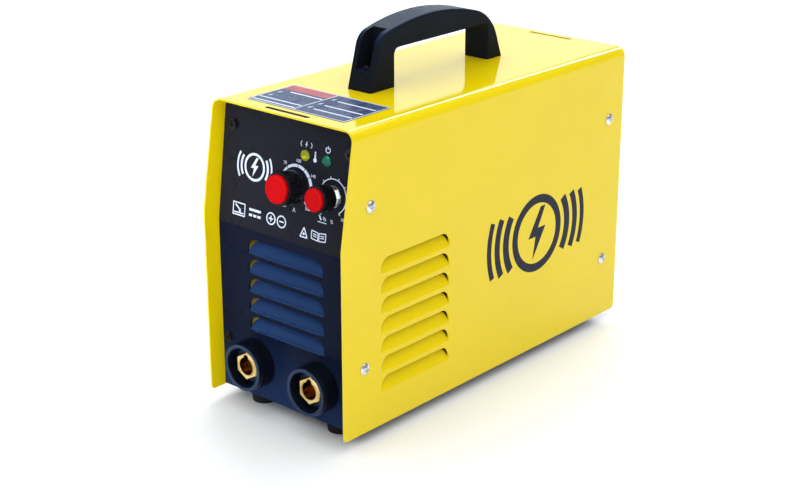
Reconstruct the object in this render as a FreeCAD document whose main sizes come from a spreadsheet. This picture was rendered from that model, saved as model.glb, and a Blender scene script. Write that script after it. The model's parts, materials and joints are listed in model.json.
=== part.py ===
import FreeCAD, Part
import math
import os

import Sketcher

# A portable stick welding inverter: a folded steel case with a front control panel, two twist-lock
# output sockets, a carrying handle, four rubber feet, a rear fan and the power electronics inside.
#
# Cover frame: X = 0 on the centre plane, Y = 0 at the foremost edge of the cover and growing towards
# the rear, Z = 0 at the lower edge of the cover. Every sub-part is placed in that frame, which is then
# shifted so that the origin is on the floor, under the middle of the machine's bounding box.

os.makedirs("parts", exist_ok=True)
doc = FreeCAD.newDocument("StickWeldingInverter")
Vector = FreeCAD.Vector

DIMENSIONS = {
    # Case
    "cover_width": 130,
    "cover_length": 316,
    "cover_height": 213,
    "sheet": 1.2,
    "cover_bend": 7.5,
    "edge_corner": 3,
    "chevron_height": 135.5,
    "chevron_setback": 12.7,
    "front_edge_y": -161.35,
    "foot_height": 8,
    "fit_gap": 0.2,
    # Air louvres pressed into the sheets
    "louvre_length": 71,
    "louvre_height": 11,
    "louvre_corner": 8,
    "louvre_tilt": 27,
    "louvre_pitch": 14.25,
    "side_louvre_start": 37.5,
    "side_louvre_low": 24.6,
    "front_louvre_low": 50.6,
    "front_louvre_tilt": 38,
    "rib_radius": 1.25,
    # Front and rear panels, folded like pans
    "panel_recess": 12.9,
    "panel_low": 2.2,
    "panel_crease": 126,
    "panel_top": 211.6,
    "panel_lean": 7.3,
    "panel_depth": 22,
    "pan_corner": 6.1,
    "rear_recess": 11,
    "tray_low": 1,
    "tray_flange": 12,
    # Screws
    "side_screw_high": 160,
    "side_screw_low": 47.5,
    "front_screw_high_y": 27.4,
    "front_screw_low_y": 20.5,
    "rear_screw_high_y": 298,
    "rear_screw_low_y": 296,
    "screw_radius": 2,
    "screw_hole": 2.2,
    "screw_head_radius": 4.25,
    "nut_thick": 3.2,
    "panel_screw_high_x": 54,
    "panel_screw_high": 194,
    "panel_screw_low_x": 57,
    "panel_screw_low": 39,
    # Feet
    "foot_x": 37,
    "foot_front": 26.5,
    "foot_radius": 10,
    # Handle
    "handle_width": 22,
    "handle_front": 88,
    "handle_rear": 233.5,
    "grip_front": 113.4,
    "grip_rear": 216,
    "grip_under": 27,
    "grip_corner": 5,
    "handle_top": 47,
    "arch_front_in": 10.5,
    "arch_front_up": 37.5,
    "arch_front_radius": 13.5,
    "arch_peak_in": 67.4,
    "arch_peak_up": 52.7,
    "arch_peak_radius": 180,
    "arch_rear_in": 12.2,
    "arch_rear_up": 33.6,
    "arch_rear_radius": 35,
    "handle_pocket_width": 12.6,
    "handle_floor": 13,
    "handle_wall": 3,
    "handle_bolt_front": 12,
    "handle_bolt_rear": 10.2,
    "bolt_radius": 2.5,
    "bolt_hole": 2.8,
    # Controls on the leaning part of the front panel
    "current_knob_x": 7.2,
    "current_knob_z": 163.8,
    "current_knob_radius": 11.4,
    "current_knob_gap": 2.6,
    "force_knob_x": 41,
    "force_knob_z": 164,
    "force_knob_radius": 9.1,
    "force_knob_gap": 6,
    "knob_height": 17,
    "cap_height": 19.2,
    "shaft_radius": 3,
    "running_gap": 0.05,
    "lamp_z": 186,
    "fault_lamp_x": 14.2,
    "power_lamp_x": 33.6,
    "lamp_radius": 3.7,
    "lamp_stem": 3.1,
    "board_setback": 12.9,
    "board": 1.6,
    # Output sockets
    "socket_x": 30.5,
    "socket_z": 27,
    "socket_radius": 17.25,
    "socket_length": 14.4,
    "socket_bore": 6.5,
    "insert_radius": 9.2,
    "insert_tail": 22,
    # Fan and rear fittings
    "fan_size": 92,
    "fan_depth": 25,
    "fan_z": 70,
    "fan_hole_pitch": 82.5,
    "fan_bore": 43.5,
    "rotor_radius": 41.5,
    "fan_hub_radius": 19,
    "blade_thick": 1.5,
    "guard_wire": 1.1,
    "gland_x": -33,
    "gland_z": 168,
    "gland_bore": 5,
    "switch_x": 26,
    "switch_z": 168,
    "rocker_throw": 12,
    # Boards and power parts
    "lower_board_z": 14,
    "upper_board_z": 104,
    "board_half": 56,
    "board_front": 62,
    "board_rear": 262,
    "spacer_x": 51,
    "spacer_inset": 6,
    "fin": 1.8,
    "fin_pitch": 7,
    "heat_sink_base": 5,
}

sheet = doc.addObject("Spreadsheet::Sheet", "Dims")
for row, (word, amount) in enumerate(DIMENSIONS.items(), start=1):
    sheet.set(f"A{row}", word)
    sheet.set(f"B{row}", str(amount))
    sheet.setAlias(f"B{row}", word)
doc.recompute()


class Size:
    """A number, together with the spreadsheet formula that gives it."""

    def __init__(self, number, formula=None):
        self.number = float(number)
        self.formula = formula or f"({self.number})"

    def join(self, other, sign, number):
        return Size(number, f"({self.formula} {sign} {other.formula})")

    def __add__(self, other):
        other = size(other)
        return self.join(other, "+", self.number + other.number)

    def __sub__(self, other):
        other = size(other)
        return self.join(other, "-", self.number - other.number)

    def __mul__(self, other):
        other = size(other)
        return self.join(other, "*", self.number * other.number)

    def __truediv__(self, other):
        other = size(other)
        return self.join(other, "/", self.number / other.number)

    def __neg__(self):
        return Size(-self.number, f"(0 - {self.formula})")

    def __radd__(self, other):
        return size(other) + self

    def __rsub__(self, other):
        return size(other) - self

    def __rmul__(self, other):
        return size(other) * self

    def __rtruediv__(self, other):
        return size(other) / self


def size(thing):
    return thing if isinstance(thing, Size) else Size(thing)


def dim(word):
    return Size(DIMENSIONS[word], f"Dims.{word}")


def tangent(angle):
    return Size(math.tan(math.radians(angle.number)), f"tan({angle.formula} * 1 deg)")


def sine(angle):
    return Size(math.sin(math.radians(angle.number)), f"sin({angle.formula} * 1 deg)")


def cosine(angle):
    return Size(math.cos(math.radians(angle.number)), f"cos({angle.formula} * 1 deg)")


# Sizes that several sub-parts share
SHEET = dim("sheet")
HALF_WIDTH = dim("cover_width") / 2
PAN_HALF = HALF_WIDTH - SHEET - dim("fit_gap")
PANEL_FACE = dim("panel_recess")
REAR_FACE = dim("cover_length") - dim("rear_recess")
TRAY_TOP = dim("tray_low") + SHEET
PAN_FLOOR = TRAY_TOP + SHEET
FOOT_REAR = dim("cover_length") - dim("foot_front")
COVER_TOP = dim("cover_height")
LEAN = dim("panel_lean")
NUT_THICK = dim("nut_thick")
TURN = {
    "+X": (Vector(0, 1, 0), 90),
    "-X": (Vector(0, 1, 0), -90),
    "+Y": (Vector(1, 0, 0), -90),
    "-Y": (Vector(1, 0, 0), 90),
    "+Z": (Vector(0, 0, 1), 0),
    "-Z": (Vector(1, 0, 0), 180),
}
SIDES = {"left": -1, "right": 1}
subparts = []
small_nuts = []
spacers = []
potentiometers = []


# ---------------------------------------------------------------- helpers


def bind(thing, path, amount):
    thing.setExpression(path, size(amount).formula)


def bind_place(thing, x, y, z):
    bind(thing, "Placement.Base.x", x)
    bind(thing, "Placement.Base.y", y)
    bind(thing, "Placement.Base.z", z)


def put(thing, x, y, z, along="+Z", angle=None):
    """Places a piece of a sub-part in the cover frame, its own Z turned to point along an axis."""
    axis, degrees = TURN[along]
    if angle is not None:
        axis, degrees = Vector(1, 0, 0), size(angle).number
    thing.Placement = FreeCAD.Placement(Vector(), FreeCAD.Rotation(axis, degrees))
    bind_place(thing, x, y, z)
    return thing


def settle(thing, label, x=0, y=0, z=0, along="+Z", angle=None):
    """Finishes a sub-part: places it in the machine's frame and files it under its label."""
    put(thing, x, dim("front_edge_y") + y, dim("foot_height") + z, along, angle)
    thing.Label = label
    subparts.append(thing)
    return thing


def panel_y(z):
    """Y of the front face of the leaning part of the front panel at height z."""
    return PANEL_FACE + (z - dim("panel_crease")) * tangent(LEAN)


def on_panel(thing, label, x, z):
    """Finishes a sub-part whose own Z axis is the outward normal of the leaning front panel."""
    return settle(thing, label, x, panel_y(z), z, angle=90 - LEAN)


def near_panel(thing, x, z):
    """Places a piece of a sub-part on the leaning front panel, its own Z pointing outwards."""
    return put(thing, x, panel_y(z), z, angle=90 - LEAN)


def box(name, x, y, z):
    """A block between three pairs of limits."""
    block = doc.addObject("Part::Box", name)
    for prop, (low, high) in (("Length", x), ("Width", y), ("Height", z)):
        bind(block, prop, size(high) - low)
    return put(block, x[0], y[0], z[0])


def settle_block(label, x, y, z):
    """A sub-part that is a plain block between three pairs of limits."""
    block = box(f"{label}_block", x, y, z)
    return settle(block, label, x[0], y[0], z[0])


def cylinder(name, radius, length, x=0, y=0, z=0, along="+Z"):
    rod = doc.addObject("Part::Cylinder", name)
    bind(rod, "Radius", radius)
    bind(rod, "Height", length)
    return put(rod, x, y, z, along)


def hexagon(name, flats, length, x=0, y=0, z=0, along="+Z"):
    """A hexagonal prism; flats is its width across flats."""
    prism = doc.addObject("Part::Prism", name)
    prism.Polygon = 6
    bind(prism, "Circumradius", size(flats) / math.sqrt(3))
    bind(prism, "Height", length)
    return put(prism, x, y, z, along)


def fuse(name, pieces):
    joined = doc.addObject("Part::MultiFuse", name)
    joined.Shapes = pieces
    return joined


def cut(name, base, tools):
    result = doc.addObject("Part::Cut", name)
    result.Base = base
    result.Tool = tools[0] if len(tools) == 1 else fuse(name + "_tools", tools)
    return result


def small_nut(name, x=0, y=0, z=0, along="+Z"):
    """A hexagonal nut for the case screws, resting at a point and growing along an axis."""
    blank = hexagon(f"{name}_hexagon", 7, NUT_THICK)
    bore = cylinder(f"{name}_bore", dim("screw_radius"), NUT_THICK + 2, 0, 0, -1)
    nut = put(cut(name, blank, [bore]), x, y, z, along)
    small_nuts.append(nut)
    return nut


def group(name, pieces):
    """Identical separate pieces that share one node."""
    together = doc.addObject("Part::Compound", name)
    together.Links = pieces
    return together


def new_body(label):
    return doc.addObject("PartDesign::Body", label)


def origin_feature(body, role):
    return next(f for f in body.Origin.OriginFeatures if f.Role == role)


def new_sketch(body, name, plane, at=0, up=0, tilt=None):
    """A sketch on one of the body's origin planes, moved to a coordinate along the plane's axis.

    up moves it along its own vertical, and tilt then turns it about its own horizontal."""
    sketch = body.newObject("Sketcher::SketchObject", f"{body.Name}_{name}")
    sketch.AttachmentSupport = (origin_feature(body, plane), [""])
    sketch.MapMode = "FlatFace"
    if tilt is not None:
        turn = FreeCAD.Rotation(Vector(1, 0, 0), size(tilt).number)
        sketch.AttachmentOffset = FreeCAD.Placement(Vector(), turn)
        bind(sketch, "AttachmentOffset.Rotation.Angle", tilt)
    lift = -size(at) if plane == "XZ_Plane" else size(at)
    bind(sketch, "AttachmentOffset.Base.y", up)
    bind(sketch, "AttachmentOffset.Base.z", lift)
    return sketch


def pin(sketch, curve, end, x, y):
    """Fixes a curve's end, or a circle's centre, at bound coordinates."""
    for kind, amount in (("DistanceX", x), ("DistanceY", y)):
        rule = Sketcher.Constraint(kind, -1, 1, curve, end, size(amount).number)
        index = sketch.addConstraint(rule)
        bind(sketch, f"Constraints[{index}]", amount)


def fix_radius(sketch, curve, radius):
    index = sketch.addConstraint(Sketcher.Constraint("Radius", curve, size(radius).number))
    bind(sketch, f"Constraints[{index}]", radius)


def circle(sketch, x, y, radius):
    middle = Vector(size(x).number, size(y).number, 0)
    curve = sketch.addGeometry(Part.Circle(middle, Vector(0, 0, 1), size(radius).number))
    pin(sketch, curve, 3, x, y)
    fix_radius(sketch, curve, radius)


def arc_between(start, finish, radius):
    """The shorter arc between two points; a positive radius runs counter-clockwise."""
    first, second = (start, finish) if radius > 0 else (finish, start)
    chord = second - first
    middle = (first + second) * 0.5
    reach = math.sqrt(max(radius * radius - chord.Length**2 / 4, 0))
    centre = middle + Vector(-chord.y, chord.x, 0).normalize() * reach
    begin = math.atan2(first.y - centre.y, first.x - centre.x)
    end = math.atan2(second.y - centre.y, second.x - centre.x)
    return Part.ArcOfCircle(Part.Circle(centre, Vector(0, 0, 1), abs(radius)), begin, end)


def outline(sketch, corners):
    """A closed outline. A corner is (x, y), left by a straight line, or (x, y, radius), left by an
    arc of that radius to the next corner, counter-clockwise when positive."""
    points = [Vector(size(c[0]).number, size(c[1]).number, 0) for c in corners]
    curves = []
    for index, corner in enumerate(corners):
        start, finish = points[index], points[(index + 1) % len(corners)]
        if len(corner) == 2:
            curves.append((sketch.addGeometry(Part.LineSegment(start, finish)), 1, 2))
            continue
        radius = size(corner[2])
        curve = sketch.addGeometry(arc_between(start, finish, radius.number))
        ends = (1, 2) if radius.number > 0 else (2, 1)
        curves.append((curve, *ends))
    for index, (curve, _, last) in enumerate(curves):
        following, first, _ = curves[(index + 1) % len(curves)]
        sketch.addConstraint(Sketcher.Constraint("Coincident", curve, last, following, first))
    for corner, (curve, first, _) in zip(corners, curves):
        pin(sketch, curve, first, corner[0], corner[1])
    for corner, (curve, _, _) in zip(corners, curves):
        if len(corner) == 3:
            radius = size(corner[2])
            fix_radius(sketch, curve, radius if radius.number > 0 else -radius)


def rectangle(sketch, x0, x1, y0, y1, corner=None):
    """A rectangle, with all four corners rounded where a corner radius is given."""
    if corner is None:
        outline(sketch, [(x0, y0), (x1, y0), (x1, y1), (x0, y1)])
        return
    x0, x1, y0, y1 = size(x0), size(x1), size(y0), size(y1)
    path = [(x0 + corner, y0), (x1 - corner, y0, corner), (x1, y0 + corner)]
    path += [(x1, y1 - corner, corner), (x1 - corner, y1), (x0 + corner, y1, corner)]
    path += [(x0, y1 - corner), (x0, y0 + corner, corner)]
    outline(sketch, path)


def louvre_outline(sketch, start, low, height):
    """Straight along the bottom, with both upper corners rounded."""
    end = start + dim("louvre_length")
    corner = dim("louvre_corner")
    top = low + height
    path = [(start, low), (end, low), (end, top - corner, corner)]
    path += [(end - corner, top), (start + corner, top, corner), (start, top - corner)]
    outline(sketch, path)


def grow(body, kind, sketch, length=None, back=False, both=False, label="pad"):
    feature = body.newObject(f"PartDesign::{kind}", f"{sketch.Name}_{label}")
    feature.Profile = sketch
    feature.Reversed = back
    feature.Midplane = both
    if length is None:
        feature.Type = "ThroughAll"
    else:
        bind(feature, "Length", length)
    return feature


def pad(body, sketch, length, back=False, both=False):
    return grow(body, "Pad", sketch, length, back, both)


def pocket(body, sketch, length=None, back=False, both=False):
    """Cuts a sketch out of the body, and makes sure that it takes something away."""
    doc.recompute()
    before = body.Shape.Volume
    feature = grow(body, "Pocket", sketch, length, back, both, "pocket")
    doc.recompute()
    if not body.Shape.Volume < before - 1e-3:
        raise RuntimeError(f"{feature.Name} cuts nothing")
    return feature


def revolve(body, sketch, kind="Revolution", axis="V_Axis"):
    feature = body.newObject(f"PartDesign::{kind}", f"{sketch.Name}_turned")
    feature.Profile = sketch
    feature.ReferenceAxis = (sketch, [axis])
    feature.Angle = 360
    return feature


def turned_body(label, profile):
    """A body of revolution about its own Z, from corners given as (radius, height)."""
    body = new_body(label)
    sketch = new_sketch(body, "profile", "XZ_Plane")
    outline(sketch, profile)
    revolve(body, sketch)
    return body


def spin_pattern(body, features, count, role="Z_Axis"):
    pattern = body.newObject("PartDesign::PolarPattern", f"{features[0].Name}_around")
    pattern.Originals = features
    pattern.Axis = (origin_feature(body, role), [""])
    pattern.Angle = 360
    pattern.Occurrences = count
    body.Tip = pattern
    return pattern


def row_pattern(body, features, role, pitch, count):
    pattern = body.newObject("PartDesign::LinearPattern", f"{features[0].Name}_row")
    pattern.Originals = features
    pattern.Direction = (origin_feature(body, role), [""])
    bind(pattern, "Length", pitch * (count - 1))
    pattern.Occurrences = count
    body.Tip = pattern
    return pattern


def round_edges(body, radius, wanted, kind="Fillet"):
    """Rounds, or chamfers, the edges of the body's last feature that the test picks."""
    doc.recompute()
    last = body.Tip
    names = []
    for index, edge in enumerate(last.Shape.Edges, start=1):
        if wanted(edge):
            names.append(f"Edge{index}")
    if not names:
        raise RuntimeError(f"no edge of {body.Label} to round")
    feature = body.newObject(f"PartDesign::{kind}", f"{last.Name}_{kind.lower()}")
    feature.Base = (last, names)
    bind(feature, "Radius" if kind == "Fillet" else "Size", radius)
    return feature


def near(value, target, slack=0.01):
    return abs(value - size(target).number) < slack


# ---------------------------------------------------------------- case


def add_rib(body, face, start, low):
    """A rib standing out along the bend of a louvre, drawn out to a point at its left end."""
    radius, point, stub = dim("rib_radius"), 9, 1.5
    end = start + dim("louvre_length")
    rib = new_sketch(body, "louvre_rib", "XZ_Plane", at=face, up=low)
    outline(rib, [(start, 0), (end, 0), (end - stub, radius), (start + point, radius)])
    return revolve(body, rib, axis="H_Axis")


def add_louvre_row(body, plane, wall, start, low, count, inward_tilts, ribbed=False):
    """Cuts a row of openings and bends a flap inwards from the bottom edge of each."""
    name = "louvre"
    opening = new_sketch(body, f"{name}_opening", plane)
    louvre_outline(opening, start, low, dim("louvre_height"))
    if plane == "YZ_Plane":
        hole = pocket(body, opening, dim("cover_width") + 20, both=True)
    else:
        hole = pocket(body, opening, dim("panel_depth") * 2, both=True)
    features = [hole]
    for number, (face, tilt, back) in enumerate(inward_tilts):
        flap = new_sketch(body, f"{name}_flap_{number}", plane, at=face, up=low, tilt=tilt)
        louvre_outline(flap, start, size(0), dim("louvre_height"))
        features.append(pad(body, flap, wall, back=back))
        if ribbed:
            features.append(add_rib(body, face, start, low))
    row_pattern(body, features, "Z_Axis", dim("louvre_pitch"), count)


def side_screw_places():
    high, low = dim("side_screw_high"), dim("side_screw_low")
    return [
        (dim("front_screw_high_y"), high),
        (dim("front_screw_low_y"), low),
        (dim("rear_screw_high_y"), high),
        (dim("rear_screw_low_y"), low),
    ]


def make_cover():
    """The outer cover: one sheet folded into an upside-down U, its front edge cut as a chevron."""
    body = new_body("cover")
    section = new_sketch(body, "section", "XZ_Plane", at=dim("cover_length"))
    half, top = HALF_WIDTH, COVER_TOP
    inner, roof, bend = half - SHEET, top - SHEET, dim("cover_bend")
    inner_bend = bend - SHEET
    path = [(half, 0), (half, top - bend, bend), (half - bend, top)]
    path += [(bend - half, top, bend), (-half, top - bend), (-half, 0), (-inner, 0)]
    path += [(-inner, roof - inner_bend, -inner_bend), (inner_bend - inner, roof)]
    path += [(inner - inner_bend, roof, -inner_bend), (inner, roof - inner_bend), (inner, 0)]
    outline(section, path)
    pad(body, section, dim("cover_length"))

    chevron = new_sketch(body, "chevron", "YZ_Plane")
    bend_z = dim("chevron_height")
    setback = dim("chevron_setback")
    over = top + 10
    lean = setback / (top - bend_z)
    outline(chevron, [(-10, bend_z), (0, bend_z), (lean * (over - bend_z), over), (-10, over)])
    pocket(body, chevron, dim("cover_width") + 20, both=True)

    def lower_corner(edge):
        bounds = edge.BoundBox
        end = near(bounds.YMin, 0) or near(bounds.YMin, dim("cover_length"))
        return near(bounds.ZMax, 0) and end and near(bounds.YLength, 0)

    round_edges(body, dim("edge_corner"), lower_corner)

    def upper_bend(edge):
        bounds = edge.BoundBox
        return near(bounds.ZMin, bend_z) and near(bounds.ZMax, bend_z) and near(bounds.YMax, 0)

    round_edges(body, 12, upper_bend)

    tilts = [
        (half, -dim("louvre_tilt"), True),
        (-half, dim("louvre_tilt"), False),
    ]
    start, low = dim("side_louvre_start"), dim("side_louvre_low")
    add_louvre_row(body, "YZ_Plane", SHEET, start, low, 7, tilts)

    screws = new_sketch(body, "screw_holes", "YZ_Plane")
    for y, z in side_screw_places():
        circle(screws, y, z, dim("screw_hole"))
    pocket(body, screws, dim("cover_width") + 20, both=True)

    top_cuts = new_sketch(body, "top_cuts", "XY_Plane", at=top)
    slot_half, slot_width = 20, 3.6
    for y in (17, dim("cover_length") - 8.8):
        rectangle(top_cuts, -slot_half, slot_half, y, y + slot_width, 1.6)
    for y in handle_bolt_places():
        circle(top_cuts, 0, y, dim("bolt_hole"))
    pocket(body, top_cuts, 10)
    settle(body, "cover")


def make_base_tray():
    """The floor of the case, with upturned sides between the two panels."""
    body = new_body("base_tray")
    floor = new_sketch(body, "floor", "XY_Plane", at=dim("tray_low"))
    rectangle(floor, -PAN_HALF, PAN_HALF, PANEL_FACE, REAR_FACE)
    pad(body, floor, SHEET)
    flanges = new_sketch(body, "flanges", "XY_Plane", at=dim("tray_low"))
    front = PANEL_FACE + dim("panel_depth") + 1
    rear = REAR_FACE - dim("panel_depth") - 1
    rectangle(flanges, -PAN_HALF, SHEET - PAN_HALF, front, rear)
    rectangle(flanges, PAN_HALF - SHEET, PAN_HALF, front, rear)
    pad(body, flanges, dim("tray_flange"))

    def fold(edge):
        bounds = edge.BoundBox
        return near(bounds.ZMax, dim("tray_low")) and near(bounds.XLength, 0) and bounds.YLength > 100

    round_edges(body, 0.9, fold)
    holes = new_sketch(body, "holes", "XY_Plane", at=TRAY_TOP)
    for y in (dim("foot_front"), FOOT_REAR):
        for side in SIDES.values():
            circle(holes, side * dim("foot_x"), y, dim("screw_hole"))
    for x, y in spacer_places():
        circle(holes, x, y, dim("screw_hole"))
    pocket(body, holes, SHEET * 2)
    settle(body, "base_tray")


def pan_shell(body, wall_faces):
    """Hollows a solid panel into a folded pan that is open on the given faces."""
    doc.recompute()
    last = body.Tip
    names = [f"Face{i}" for i, face in enumerate(last.Shape.Faces, start=1) if wall_faces(face)]
    shell = body.newObject("PartDesign::Thickness", f"{body.Name}_shell")
    shell.Base = (last, names)
    bind(shell, "Value", SHEET)
    shell.Reversed = True
    shell.Join = "Intersection"
    doc.recompute()
    return shell


def top_corner_edge(edge):
    bounds = edge.BoundBox
    outer = near(abs(bounds.XMin), PAN_HALF) and near(bounds.XLength, 0)
    return outer and near(bounds.ZMin, dim("panel_top")) and near(bounds.ZLength, 0)


def make_front_panel():
    """The front panel: upright below its crease, leaning back above it, with folded-in sides."""
    body = new_body("front_panel")
    side = new_sketch(body, "side", "YZ_Plane")
    low, crease, top = dim("panel_low"), dim("panel_crease"), dim("panel_top")
    face, depth = PANEL_FACE, dim("panel_depth")
    path = [(face, low), (face + depth, low), (face + depth, crease)]
    path += [(panel_y(top) + depth, top), (panel_y(top), top), (face, crease)]
    outline(side, path)
    pad(body, side, PAN_HALF * 2, both=True)
    round_edges(body, dim("pan_corner"), top_corner_edge)

    def rear_face(facet):
        normal = facet.normalAt(0, 0)
        return abs(normal.x) < 0.01 and normal.y > 0.9

    pan_shell(body, rear_face)

    tilts = [(face, -dim("front_louvre_tilt"), True)]
    start = -dim("louvre_length") / 2
    add_louvre_row(body, "XZ_Plane", SHEET, start, dim("front_louvre_low"), 5, tilts, ribbed=True)

    low_holes = new_sketch(body, "low_holes", "XZ_Plane", at=face)
    for sign in SIDES.values():
        circle(low_holes, sign * dim("socket_x"), dim("socket_z"), 12.7)
        circle(low_holes, sign * dim("panel_screw_low_x"), dim("panel_screw_low"), dim("screw_hole"))
    pocket(body, low_holes, 5, both=True)

    # Holes square to the leaning part; heights are measured along it from the crease.
    controls = new_sketch(body, "controls", "XZ_Plane", at=face, up=crease, tilt=-LEAN)
    slant = 1 / cosine(LEAN)
    bushing = 3.7
    circle(controls, dim("current_knob_x"), (dim("current_knob_z") - crease) * slant, bushing)
    circle(controls, dim("force_knob_x"), (dim("force_knob_z") - crease) * slant, bushing)
    for x in (dim("fault_lamp_x"), dim("power_lamp_x")):
        circle(controls, x, (dim("lamp_z") - crease) * slant, dim("lamp_stem") + 0.1)
    for sign in SIDES.values():
        height = (dim("panel_screw_high") - crease) * slant
        circle(controls, sign * dim("panel_screw_high_x"), height, dim("screw_hole"))
    pocket(body, controls, 6, both=True)

    screws = new_sketch(body, "side_holes", "YZ_Plane")
    for y, z in side_screw_places()[:2]:
        circle(screws, y, z, dim("screw_hole"))
    pocket(body, screws, dim("cover_width"), both=True)
    feet = new_sketch(body, "foot_holes", "XY_Plane", at=PAN_FLOOR)
    for sign in SIDES.values():
        circle(feet, sign * dim("foot_x"), dim("foot_front"), dim("screw_hole"))
    pocket(body, feet, SHEET * 2)
    settle(body, "front_panel")


def make_rear_panel():
    """The rear panel: a flat pan with the fan opening, the switch, the gland and the earth stud."""
    body = new_body("rear_panel")
    side = new_sketch(body, "side", "YZ_Plane")
    rectangle(side, REAR_FACE - dim("panel_depth"), REAR_FACE, dim("panel_low"), dim("panel_top"))
    pad(body, side, PAN_HALF * 2, both=True)
    round_edges(body, dim("pan_corner"), top_corner_edge)
    pan_shell(body, lambda facet: facet.normalAt(0, 0).y < -0.9)

    holes = new_sketch(body, "holes", "XZ_Plane", at=REAR_FACE)
    circle(holes, 0, dim("fan_z"), dim("fan_bore") - 1.5)
    for x, z in fan_screw_places():
        circle(holes, x, z, dim("screw_hole"))
    circle(holes, dim("gland_x"), dim("gland_z"), 10.2)
    circle(holes, 0, earth_stud_z(), 3.2)
    x, z = dim("switch_x"), dim("switch_z")
    rectangle(holes, x - 11.2, x + 11.2, z - 15.2, z + 15.2)
    pocket(body, holes, 5, both=True)

    screws = new_sketch(body, "side_holes", "YZ_Plane")
    for y, height in side_screw_places()[2:]:
        circle(screws, y, height, dim("screw_hole"))
    pocket(body, screws, dim("cover_width"), both=True)
    feet = new_sketch(body, "foot_holes", "XY_Plane", at=PAN_FLOOR)
    for sign in SIDES.values():
        circle(feet, sign * dim("foot_x"), FOOT_REAR, dim("screw_hole"))
    pocket(body, feet, SHEET * 2)
    settle(body, "rear_panel")


def make_feet():
    feet, screws = [], []
    radius, low = dim("foot_radius"), -dim("foot_height")
    tall = dim("tray_low") - low
    seat = 4.6
    for row, y in (("front", dim("foot_front")), ("rear", FOOT_REAR)):
        for side, sign in SIDES.items():
            name = f"foot_{row}_{side}"
            x = sign * dim("foot_x")
            cone = doc.addObject("Part::Cone", f"{name}_cone")
            bind(cone, "Radius1", radius - 1)
            bind(cone, "Radius2", radius)
            bind(cone, "Height", tall)
            put(cone, x, y, low)
            recess = cylinder(f"{name}_recess", 5, seat, x, y, low)
            hole = cylinder(f"{name}_hole", dim("screw_hole"), tall, x, y, low)
            feet.append(cut(name, cone, [recess, hole]))
            head = cylinder(f"{name}_screw_head", dim("screw_head_radius"), 2.4, x, y, low + seat - 2.4)
            shank = cylinder(f"{name}_screw_shank", dim("screw_radius"), 12, x, y, low + seat - 0.2)
            screws.append(fuse(f"{name}_screw", [head, shank]))
            small_nut(f"{name}_nut", x, y, PAN_FLOOR)
    settle(group("feet_group", feet), "feet")
    settle(group("foot_screws_group", screws), "foot_screws")


# ---------------------------------------------------------------- handle


def handle_bolt_places():
    return [dim("handle_front") + dim("handle_bolt_front"), dim("handle_rear") - dim("handle_bolt_rear")]


def make_handle():
    """A moulded bridge handle: sloping ends, a low arch on top and a deep bolt pocket at each end."""
    body = new_body("handle")
    arch = new_sketch(body, "arch", "YZ_Plane")
    front, rear, base = dim("handle_front"), dim("handle_rear"), COVER_TOP
    path = [
        (front, base),
        (dim("grip_front"), base),
        (dim("grip_front"), base + dim("grip_under")),
        (dim("grip_rear"), base + dim("grip_under")),
        (dim("grip_rear"), base),
        (rear, base),
        (rear - dim("arch_rear_in"), base + dim("arch_rear_up")),
        (front + dim("arch_peak_in"), base + dim("arch_peak_up")),
        (front + dim("arch_front_in"), base + dim("arch_front_up")),
    ]
    outline(arch, path)
    pad(body, arch, dim("handle_width"), both=True)

    def crossing_edge(y, z):
        """Picks the edge across the handle at a corner of its side outline."""

        def test(edge):
            bounds = edge.BoundBox
            wide = near(bounds.XLength, dim("handle_width"))
            return wide and near(bounds.YMin, y) and near(bounds.ZMin, z)

        return test

    for (y, z), word in ((path[8], "front"), (path[7], "peak"), (path[6], "rear")):
        round_edges(body, dim(f"arch_{word}_radius"), crossing_edge(y, z))

    def grip_corner(edge):
        bounds = edge.BoundBox
        return near(bounds.ZMin, base + dim("grip_under")) and near(bounds.XLength, dim("handle_width"))

    round_edges(body, dim("grip_corner"), grip_corner)

    def side_edge(edge):
        bounds = edge.BoundBox
        flat = near(bounds.XLength, 0) and near(abs(bounds.XMin), dim("handle_width") / 2)
        return flat and bounds.ZMax > base.number + 0.5

    round_edges(body, 1.6, side_edge)

    half = dim("handle_pocket_width") / 2
    seat = base + dim("handle_floor")
    wall = dim("handle_wall")
    front_depth = dim("grip_front") - front - wall
    rear_depth = rear - dim("grip_rear") - wall
    for word, face, depth in (("front", front, front_depth), ("rear", rear, rear_depth)):
        mouth = new_sketch(body, f"{word}_pocket", "XZ_Plane", at=face)
        rectangle(mouth, -half, half, seat, base + dim("handle_top"), 1.2)
        pocket(body, mouth, depth, back=word == "rear")
    holes = new_sketch(body, "bolt_holes", "XY_Plane", at=base)
    for y in handle_bolt_places():
        circle(holes, 0, y, dim("bolt_hole"))
    pocket(body, holes, dim("handle_floor") + 2, back=True)
    settle(body, "handle")

    bolts, nuts = [], []
    roof = base - SHEET
    flats = 8
    for number, y in enumerate(handle_bolt_places()):
        head = hexagon(f"handle_bolt_head_{number}", flats, 3.6, 0, y, seat)
        shank = cylinder(f"handle_bolt_shank_{number}", dim("bolt_radius"), 24, 0, y, seat - 23.8)
        bolts.append(fuse(f"handle_bolt_{number}", [head, shank]))
        flange = cylinder(f"handle_nut_flange_{number}", 6.5, 1.6, 0, y, roof - 1.6)
        nut = hexagon(f"handle_nut_hexagon_{number}", flats, 5.2, 0, y, roof - 6.6)
        thread = cylinder(f"handle_nut_bore_{number}", dim("bolt_radius"), 8, 0, y, roof - 7)
        blank = fuse(f"handle_nut_blank_{number}", [flange, nut])
        nuts.append(cut(f"handle_nut_{number}", blank, [thread]))
    settle(group("handle_bolts_group", bolts), "handle_bolts")
    settle(group("handle_nuts_group", nuts), "handle_nuts")


# ---------------------------------------------------------------- screws of the case


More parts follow.
